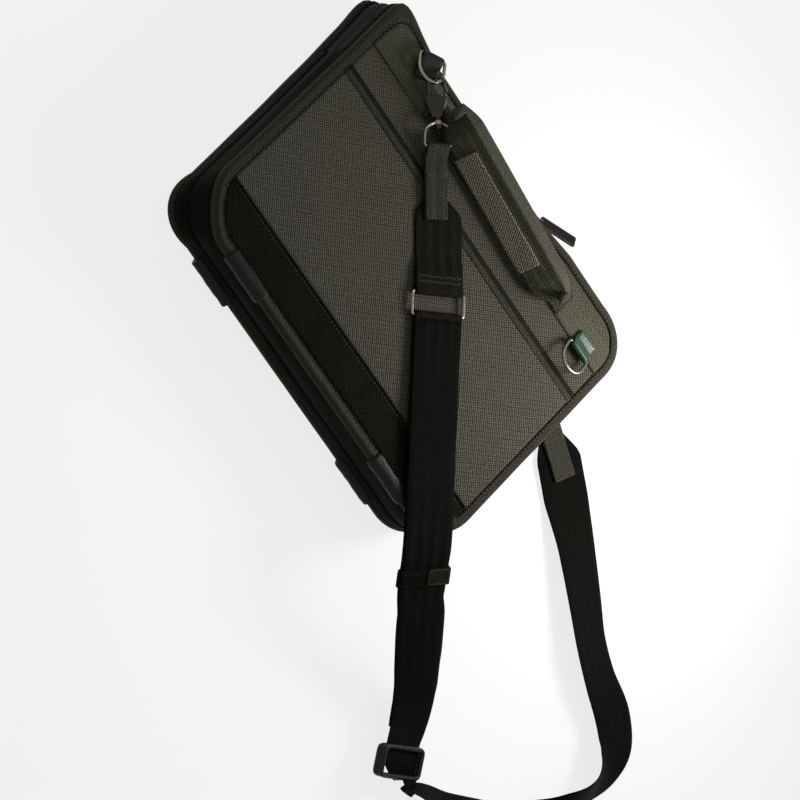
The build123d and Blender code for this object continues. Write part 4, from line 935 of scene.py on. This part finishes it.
cover_rows = [(*(RECT + RUN_DIR * far)[:2], STATIONS[0, 2], 0.0) for far in (14.0, 80.0)]
cover_rows += list(STATIONS[:KEEPER_AT + 1])
for name, offset in (("strap_upper_cover", 0.0), ("strap_lower_cover", -WEB_T)):
    layer = strap_piece(name, cover_rows, offset, 4.0)
    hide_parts("strap_cover")
    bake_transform(layer)
gathered = [(k - KEEPER_AT, share) for k, share in (
    (15, 1.0), (16, 0.6), (17, 0.4), (18, 0.5), (19, 0.85), (20, 1.0))]
place(strap_piece("strap_upper_ground", STATIONS[KEEPER_AT:], 0.0, 3.0, pinch=gathered),
      "shell", "strap_web", "strap_floor")
lower_rows = np.vstack([STATIONS[KEEPER_AT:LOWER_TO], STATIONS[LOWER_TO - 1:LOWER_TO + 1].mean(axis=0)])
place(strap_piece("strap_lower_ground", lower_rows, -WEB_T, 4.0, slip=2.6), "shell", "strap_web")


def local_web(name, rows, origin, along, side, up, mat, step=2.0):
    """Webbing from (x, z, shift, width) rows in a local frame, its normal to the left of its run.

    A row may leave out the width, or the width and the shift.
    """
    line = smooth_path([(*row[:2], 0.0, *row[2:], *(0.0, STRAP_W)[len(row) - 2:]) for row in rows], step)
    plane = np.array([along, up])
    centre = origin + line[:, :2] @ plane + line[:, 3:4] * side
    normals = left_normals(line[:, :2]) @ plane
    return web(name, centre, side, normals, STRAP_W, WEB_T, mat, line[:, 4] / STRAP_W)


def around_bar(x, r, a0, a1):
    return [(x + r * math.cos(a), r * math.sin(a)) for a in np.linspace(rad(a0), rad(a1), 9)]


END_ROWS = (
    (-97.8, -2.9, -6.0, 23.0), (-94.0, -2.9, -5.0, 27.0), (-88.0, -2.9, -3.4, 39.0),
    (-83.0, -2.9, -2.0, 49.0), (-76.0, -2.9, -1.0), (-42.0, -2.6), (-34.0, -0.4), (-28.0, 0.9),
    (-18.0, 0.9), (-14.0, 1.6), *around_bar(-10.5, 2.6, 100, -100), (-14.0, -1.6), (-18.0, -0.95),
    (-34.0, -0.95))
TURN_ROWS = ((14.0, 0.9), (12.6, 1.7), *around_bar(10.5, 2.6, 80, 280), (12.6, -1.7), (14.0, -0.9))
for name, loop_rows, nodes in (("strap_end", END_ROWS, ["strap_top"]), ("strap_turn", TURN_ROWS, [])):
    place(local_web(name, loop_rows, RECT, RUN_DIR, RUN_SIDE, UP, "strap_end"), "cover", "strap_web", *nodes)
zigzag = []
for x0 in (-19.5, -24.5):
    points = [RECT + RUN_DIR * (x0 + 1.3 * (-1) ** k) + RUN_SIDE * y + UP * 1.85
              for k, y in enumerate(np.linspace(-23.5, 23.5, 25))]
    zigzag.append((resample(points, 0.6), UP))
sew("strap_end_stitches", "cover", zigzag, "thread", 2.0, 0.5, 0.3)

last = STATIONS[-1, :3]
back_run = unit((last - STATIONS[-2, :3]) * (1, 1, 0))
REAR_ROWS = ((-1.0, 0.0), (3.0, 0.0, 0.2, 51.5), (10.0, 0.0, 1.2, 46.0), (20.0, 0.0, 3.2, 34.0),
             (28.0, 0.0, 5.0, 25.0), (33.0, 0.0, 6.0, 21.0))
place(local_web("strap_rear_end", REAR_ROWS, last, back_run, left_of(back_run), UP, "strap"),
      "shell", "strap_web")

# keeper
origin, across, out, ahead = station(KEEPER_AT)
ring = looped(oval(27.2, 3.4, 2 / 9.0, 2 / 3.0, 64))
plane = np.array([across, out])
keeper = web("keeper_loop", origin - 0.9 * out + ring @ plane, ahead, -left_normals(ring) @ plane, 16.6, 1.4,
             "strap", caps=False)
place(keeper, "keeper", "webbing", "strap_keeper")
patch_xs = np.linspace(1.5, 26.6, 14)[:, None]
place(web("keeper_patch", origin + patch_xs * across + 3.35 * out, ahead, out, 16.4, 1.3, "trim"), "keeper")
sew("keeper_stitches", "keeper", box_seams(origin + out * 4.05, across, ahead, 3.5, 24.8, 6.6, out),
    "thread", 2.2, 1.0, 0.28)

# adjuster
origin, across, out, ahead = station(ADJUSTER_AT)
FOLD_ROWS = ((-13.5, -2.15), (-6.0, -2.15), (0.5, -2.1), (2.9, -2.7), (3.4, -4.0), (2.9, -5.3), (0.5, -5.85),
             (-3.6, -5.8))
place(local_web("adjuster_web_fold", FOLD_ROWS, origin, ahead, across, out, "strap", 1.0),
      "adjuster", "strap_web", "adjuster_fold")


def buckle(name, radius, squash, lift):
    """Moulded frame of rounded bars in the adjuster's own directions."""
    path = at_height(oval(29.4, 13.4, 0.22, 0.22, 72), 0)
    loop = tube(name, path, radius, "frame", 14, closed=True)
    return moved(loop, origin + lift * out, across, ahead, squash * out)


place(buckle("adjuster_frame", 2.5, 1.1, 1.6), "adjuster", "dark_plastic", "strap_adjuster")
place(buckle("adjuster_underframe", 2.3, 1.5, -3.6), "adjuster")
bar = origin - ahead * 1.5 - out * 4.0 + across * np.linspace(-28.5, 28.5, 9)[:, None]
place(tube("adjuster_bar", bar, 1.35, "frame"), "adjuster")


# ---- carry handles
HANDLE_HALF, HANDLE_Y, RIDGE, RIDGE_SLOPE = 99.5, 108.0, 28.0, 34.0
FRONT_X, REAR_X = 3.5, -12.0
FRONT_ROLL_Z, REAR_ROLL_Z = 78.2, 9.8
PATCH_Y, PATCH_W, PATCH_H = 107.0, 17.0, 13.5  # the sewn feet: middle and half sizes
ROLL_R = (1.6, 2.2, 2.35, 2.4, 2.4, 2.4, 2.35, 2.2, 1.6)


def roof_band(name, half_l, across, rise, thick, mat, droop=1.0, ripple=0.3):
    """Cloth band folded along a ridge: across lists how far its points lie before or past the ridge."""
    xs = spread(61, 0.5) * half_l
    rings = []
    for x in xs:
        end = droop * np.clip((abs(x) - (HANDLE_HALF - 22)) / 25.0, 0, 1) ** 1.6
        slope = rad(RIDGE_SLOPE + 20 * end)
        soft = (np.sqrt(across ** 2 + 1.6 ** 2) - 1.6) * (1 - 0.3 * end)
        wave = ripple * np.array([waver(x * 0.03, a * 0.08, 1.7) for a in across])
        z = rise - 4.0 * end - soft * math.sin(slope) + wave - 0.0012 * across ** 2 * (1 - end)
        top = track(x, np.sign(across) * soft * math.cos(slope), z)
        lean = -np.sign(across) * math.sin(slope) * np.clip(np.abs(across) / 4, 0, 1)
        under = top + track(0.0, lean, -math.cos(slope * 0.5)) * thick
        rings.append(np.vstack([top, under[::-1]]))
    around = np.concatenate([across, across[::-1] + 50, [across[0] + 150]]) - across[0]
    return loft(name, rings, mat, around, xs, flip=True)


def handle_leg(name, x, lean):
    """Gathered webbing from the end of the grip down to its roll on the patch."""
    t = circle(20)
    rings = []
    for q in np.linspace(0, 1, 16):
        a = 6.2 * (1 - q) + 3.0 * q + 0.5 * math.sin(q * 9)
        b = 3.4 * (1 - q) + 8.2 * q
        pinch = 1 + 0.06 * np.cos(3 * t + q * 4)
        rings.append(track(x + a * np.cos(t) * pinch, lean * q + b * np.sin(t) * pinch,
                           0.6 + q * (RIDGE - 3.2)))
    return loft(name, rings, "webbing", np.linspace(0, 30, 21), np.linspace(0, 26, 16), flip=True)


LEAN, SKEW = 14.0, math.degrees(math.atan2(-8.0, HANDLE_HALF))  # how the grip stands, in degrees
EX = flat_dir(SKEW)
EY = left_of(EX) * math.cos(rad(LEAN)) + UP * math.sin(rad(LEAN))
EZ = UP * math.cos(rad(LEAN)) - left_of(EX) * math.sin(rad(LEAN))
BAND_AT = np.array([FRONT_X, HANDLE_Y + 5.0, FRONT_ROLL_Z])
across = np.concatenate([np.linspace(-32.0, 0, 14), np.linspace(0, 17.0, 10)[1:]])
band = roof_band("handle_band", HANDLE_HALF + 3, across, RIDGE, 3.0, "webbing")
place(moved(band, BAND_AT, EX, EY, EZ), "front_grip", "webbing", "front_handle")
# the wrap's lighter weave carries painted light on its lit face
wrap = roof_band("handle_wrap", 61.0, np.linspace(-34.0, -12.0, 14), RIDGE + 1.4, 1.3, "wrap", 0.0, 0.5)
place(moved(wrap, BAND_AT, EX, EY, EZ), "front_grip", "ballistic_weave", "front_handle_wrap")
for tag, sign in (("left", -1), ("right", 1)):
    leg = handle_leg("handle_leg_" + tag, sign * HANDLE_HALF, -sign * 8.0)
    place(moved(leg, (FRONT_X, HANDLE_Y, FRONT_ROLL_Z), (1, 0, 0), (0, 1, 0), EZ), "front_grip")
lines = []
for y, z, half_l in ((-10.3, RIDGE - 6.2, 58.0), (10.3, RIDGE - 7.6, 88.0)):
    local = track(np.arange(-half_l, half_l, 2.0), y, z)
    lines.append((BAND_AT + local @ np.array([EX, EY, EZ]), (0, math.copysign(0.56, y), 0.83)))
sew("handle_stitches", "front_grip", lines, "dark_thread", 2.8, 1.3, 0.3)

for tag, mid, base_z, side, body in (("front", FRONT_X, FRONT_BAND_Z, 1, "cover"),
                                     ("rear", REAR_X, BACK_BAND_Z, -1, "shell")):
    low, high = sorted((base_z + side * 0.05, base_z + side * 1.7))
    z = high + 0.05 if side > 0 else low - 0.05
    for where, x in (("left", mid - HANDLE_HALF), ("right", mid + HANDLE_HALF)):
        name = f"{tag}_{where}"
        patch = pad(name + "_patch", (PATCH_W, PATCH_H, 1.5, x, PATCH_Y), high, low, "tab", (19, 15), 0.6)
        place(patch, body, "webbing", tag + "_handle_feet")
        lines = box_seams(np.array([x, PATCH_Y, z]), flat_dir(0), flat_dir(90), 2.5 - PATCH_W, PATCH_W - 2.5,
                          PATCH_H - 2.5, UP * side, crossed=True)
        sew(name + "_patch_stitches", body, lines, "thread", 2.4, 1.0, 0.28)
        line = track(x + np.linspace(-7, 7, 9), HANDLE_Y, base_z + side * 3.7)
        place(tube(name + "_roll", line, ROLL_R, "webbing", 14), body)

SAG = rad(-9.5)
REAR_FRAME = ((REAR_X, HANDLE_Y, REAR_ROLL_Z), (1.0, 0, 0), (0, math.cos(SAG), math.sin(SAG)),
              (0, -math.sin(SAG), math.cos(SAG)))


def grip_top(x, y):
    along, across = np.clip(np.abs(x) / 92.0, 0, 1), np.clip(np.abs(y - 27) / 13.0, 0, 1)
    return 1.2 + 1.5 * (1 - along ** 6) * (1 - across ** 2)


grip = pad("rear_grip_pad", (106.0, 13.0, 8.0, 0.0, 27.0), grip_top, lambda x, y: -grip_top(x, y),
           "webbing", (71, 19), 1.2, uv_turn=True)
place(moved(grip, *REAR_FRAME), "rear_grip", "webbing", "rear_handle")
for tag, sign in (("left", -1), ("right", 1)):
    centre = track(sign * HANDLE_HALF, np.linspace(2.9, 20.0, 12), 0.0)
    strip = web("rear_leg_" + tag, centre, (1.0, 0, 0), UP, 12.6, 3.0, "webbing")
    place(moved(strip, *REAR_FRAME), "rear_grip")

# ---- zip pulls
PIVOT_Y = 151.1
WIRE = ((-0.6, 2.4), (0.4, 2.9), (7.0, 2.9), (8.6, 2.4), (8.6, -2.4), (7.0, -2.9), (0.4, -2.9), (-0.6, -2.4))
for tag, x, angle, hang, roll in (("left", 25.0, 172.0, rad(22), 0.0), ("right", 47.0, 24.0, 0.0, rad(78))):
    flat, body = flat_dir(angle), tag + "_tab"
    along = flat * math.cos(hang) - UP * math.sin(hang)
    down = -UP * math.cos(hang) - flat * math.sin(hang)
    up = left_of(flat)
    wide = down * math.cos(roll) + up * math.sin(roll)
    face = up * math.cos(roll) - down * math.sin(roll)
    at = np.array([x, PIVOT_Y, ZIP_Z])
    tab = pad(tag + "_pull_leather", (22.0, 5.4, 2.2, 31.9, 0.0), 1.1, -1.1, "pull_leather", (41, 13), 0.8)
    place(moved(tab, at, along, wide, face), body, "leather", tag + "_pull")
    wire = tube(tag + "_pull_wire", at_height(WIRE, 0), 0.7, "wire", 10, closed=True)
    place(moved(wire, at, along, down, up), body)
    cap = pad(tag + "_pull_cap", (1.7, 4.0, 0.6, 8.5, 0.0), 1.6, -1.6, "cast", (9, 13), 0.6)
    place(moved(cap, at, along, down, up), body)
    lines = [(at + track(np.arange(12.5, 51.5, 1.0), b, 1.15) @ np.array([along, wide, face]), face)
             for b in (-4.2, 4.2)]
    sew(tag + "_pull_stitches", body, lines, "thread", 2.0, 1.0, 0.22)


# ---- floor, light, camera
def floor_paint():
    """Pale paint that shows white to the camera and keeps the case's shadow."""
    n = Paint("floor_paint")
    n.feed(n.bsdf, {"Base Color": srgb(250, 250, 248), "Roughness": 0.9})
    glow = n.add("ShaderNodeEmission", {"Color": (1, 1, 1, 1)})
    shaders = {0: n.times(n.seen(), 0.8), 1: n.bsdf.outputs[0], 2: glow.outputs[0]}
    n.feed(n.out, {0: n.add("ShaderNodeMixShader", shaders).outputs[0]})
    return n.mat


FLOOR_Z = CAD_BOX[0].z - 0.0006
WORLD_LIGHT = 0.18
LENS_PX, WIDTH_PX, SENSOR = 3841.2, 800.0, 36.0
# the camera's right, up and back
VIEW = Matrix(((0.5340, 0.6250, 0.5694), (-0.7711, 0.6362, 0.0249), (-0.3467, -0.4524, 0.8217)))
TARGET = Vector((0.06, -0.06, 0.04))  # what the lamps face

mesh = bpy.data.meshes.new("floor")
mesh.from_pydata([(x, y, FLOOR_Z) for x, y in ((-6.0, -6.0), (6.0, -6.0), (6.0, 6.0), (-6.0, 6.0))], [],
                 [(0, 1, 2, 3)])
mesh.materials.append(floor_paint())
floor = shown("floor", mesh)

world = bpy.data.worlds.new("studio")
bpy.context.scene.world = world
world.use_nodes = True
n = Nodes(world.node_tree)
strength = n.math("MULTIPLY_ADD", n.seen(), 1.0 - WORLD_LIGHT, WORLD_LIGHT)
n.feed(n.tree.nodes["Background"], {"Color": (1, 1, 1, 1), "Strength": strength})


for name, at, lamp_size, power in (("key", (0.36, 0.22, 0.32), 0.18, 3.0),
                                   ("fill", (-0.9, 1.1, 1.9), 1.2, 8.0)):
    data = bpy.data.lights.new(name, "AREA")
    data.shape, data.size, data.energy = "SQUARE", lamp_size, power
    shown(name, data, at, (TARGET - Vector(at)).to_track_quat("-Z", "Y"))

data = bpy.data.cameras.new("camera")
data.sensor_width = SENSOR
data.lens = SENSOR * LENS_PX / WIDTH_PX
data.clip_start, data.clip_end = 0.1, 20.0
camera = shown("camera", data, (-1.1189, -1.6413, 2.8887), VIEW.transposed().to_quaternion())
bpy.context.scene.camera = camera
bpy.context.scene.view_settings.view_transform = "Standard"
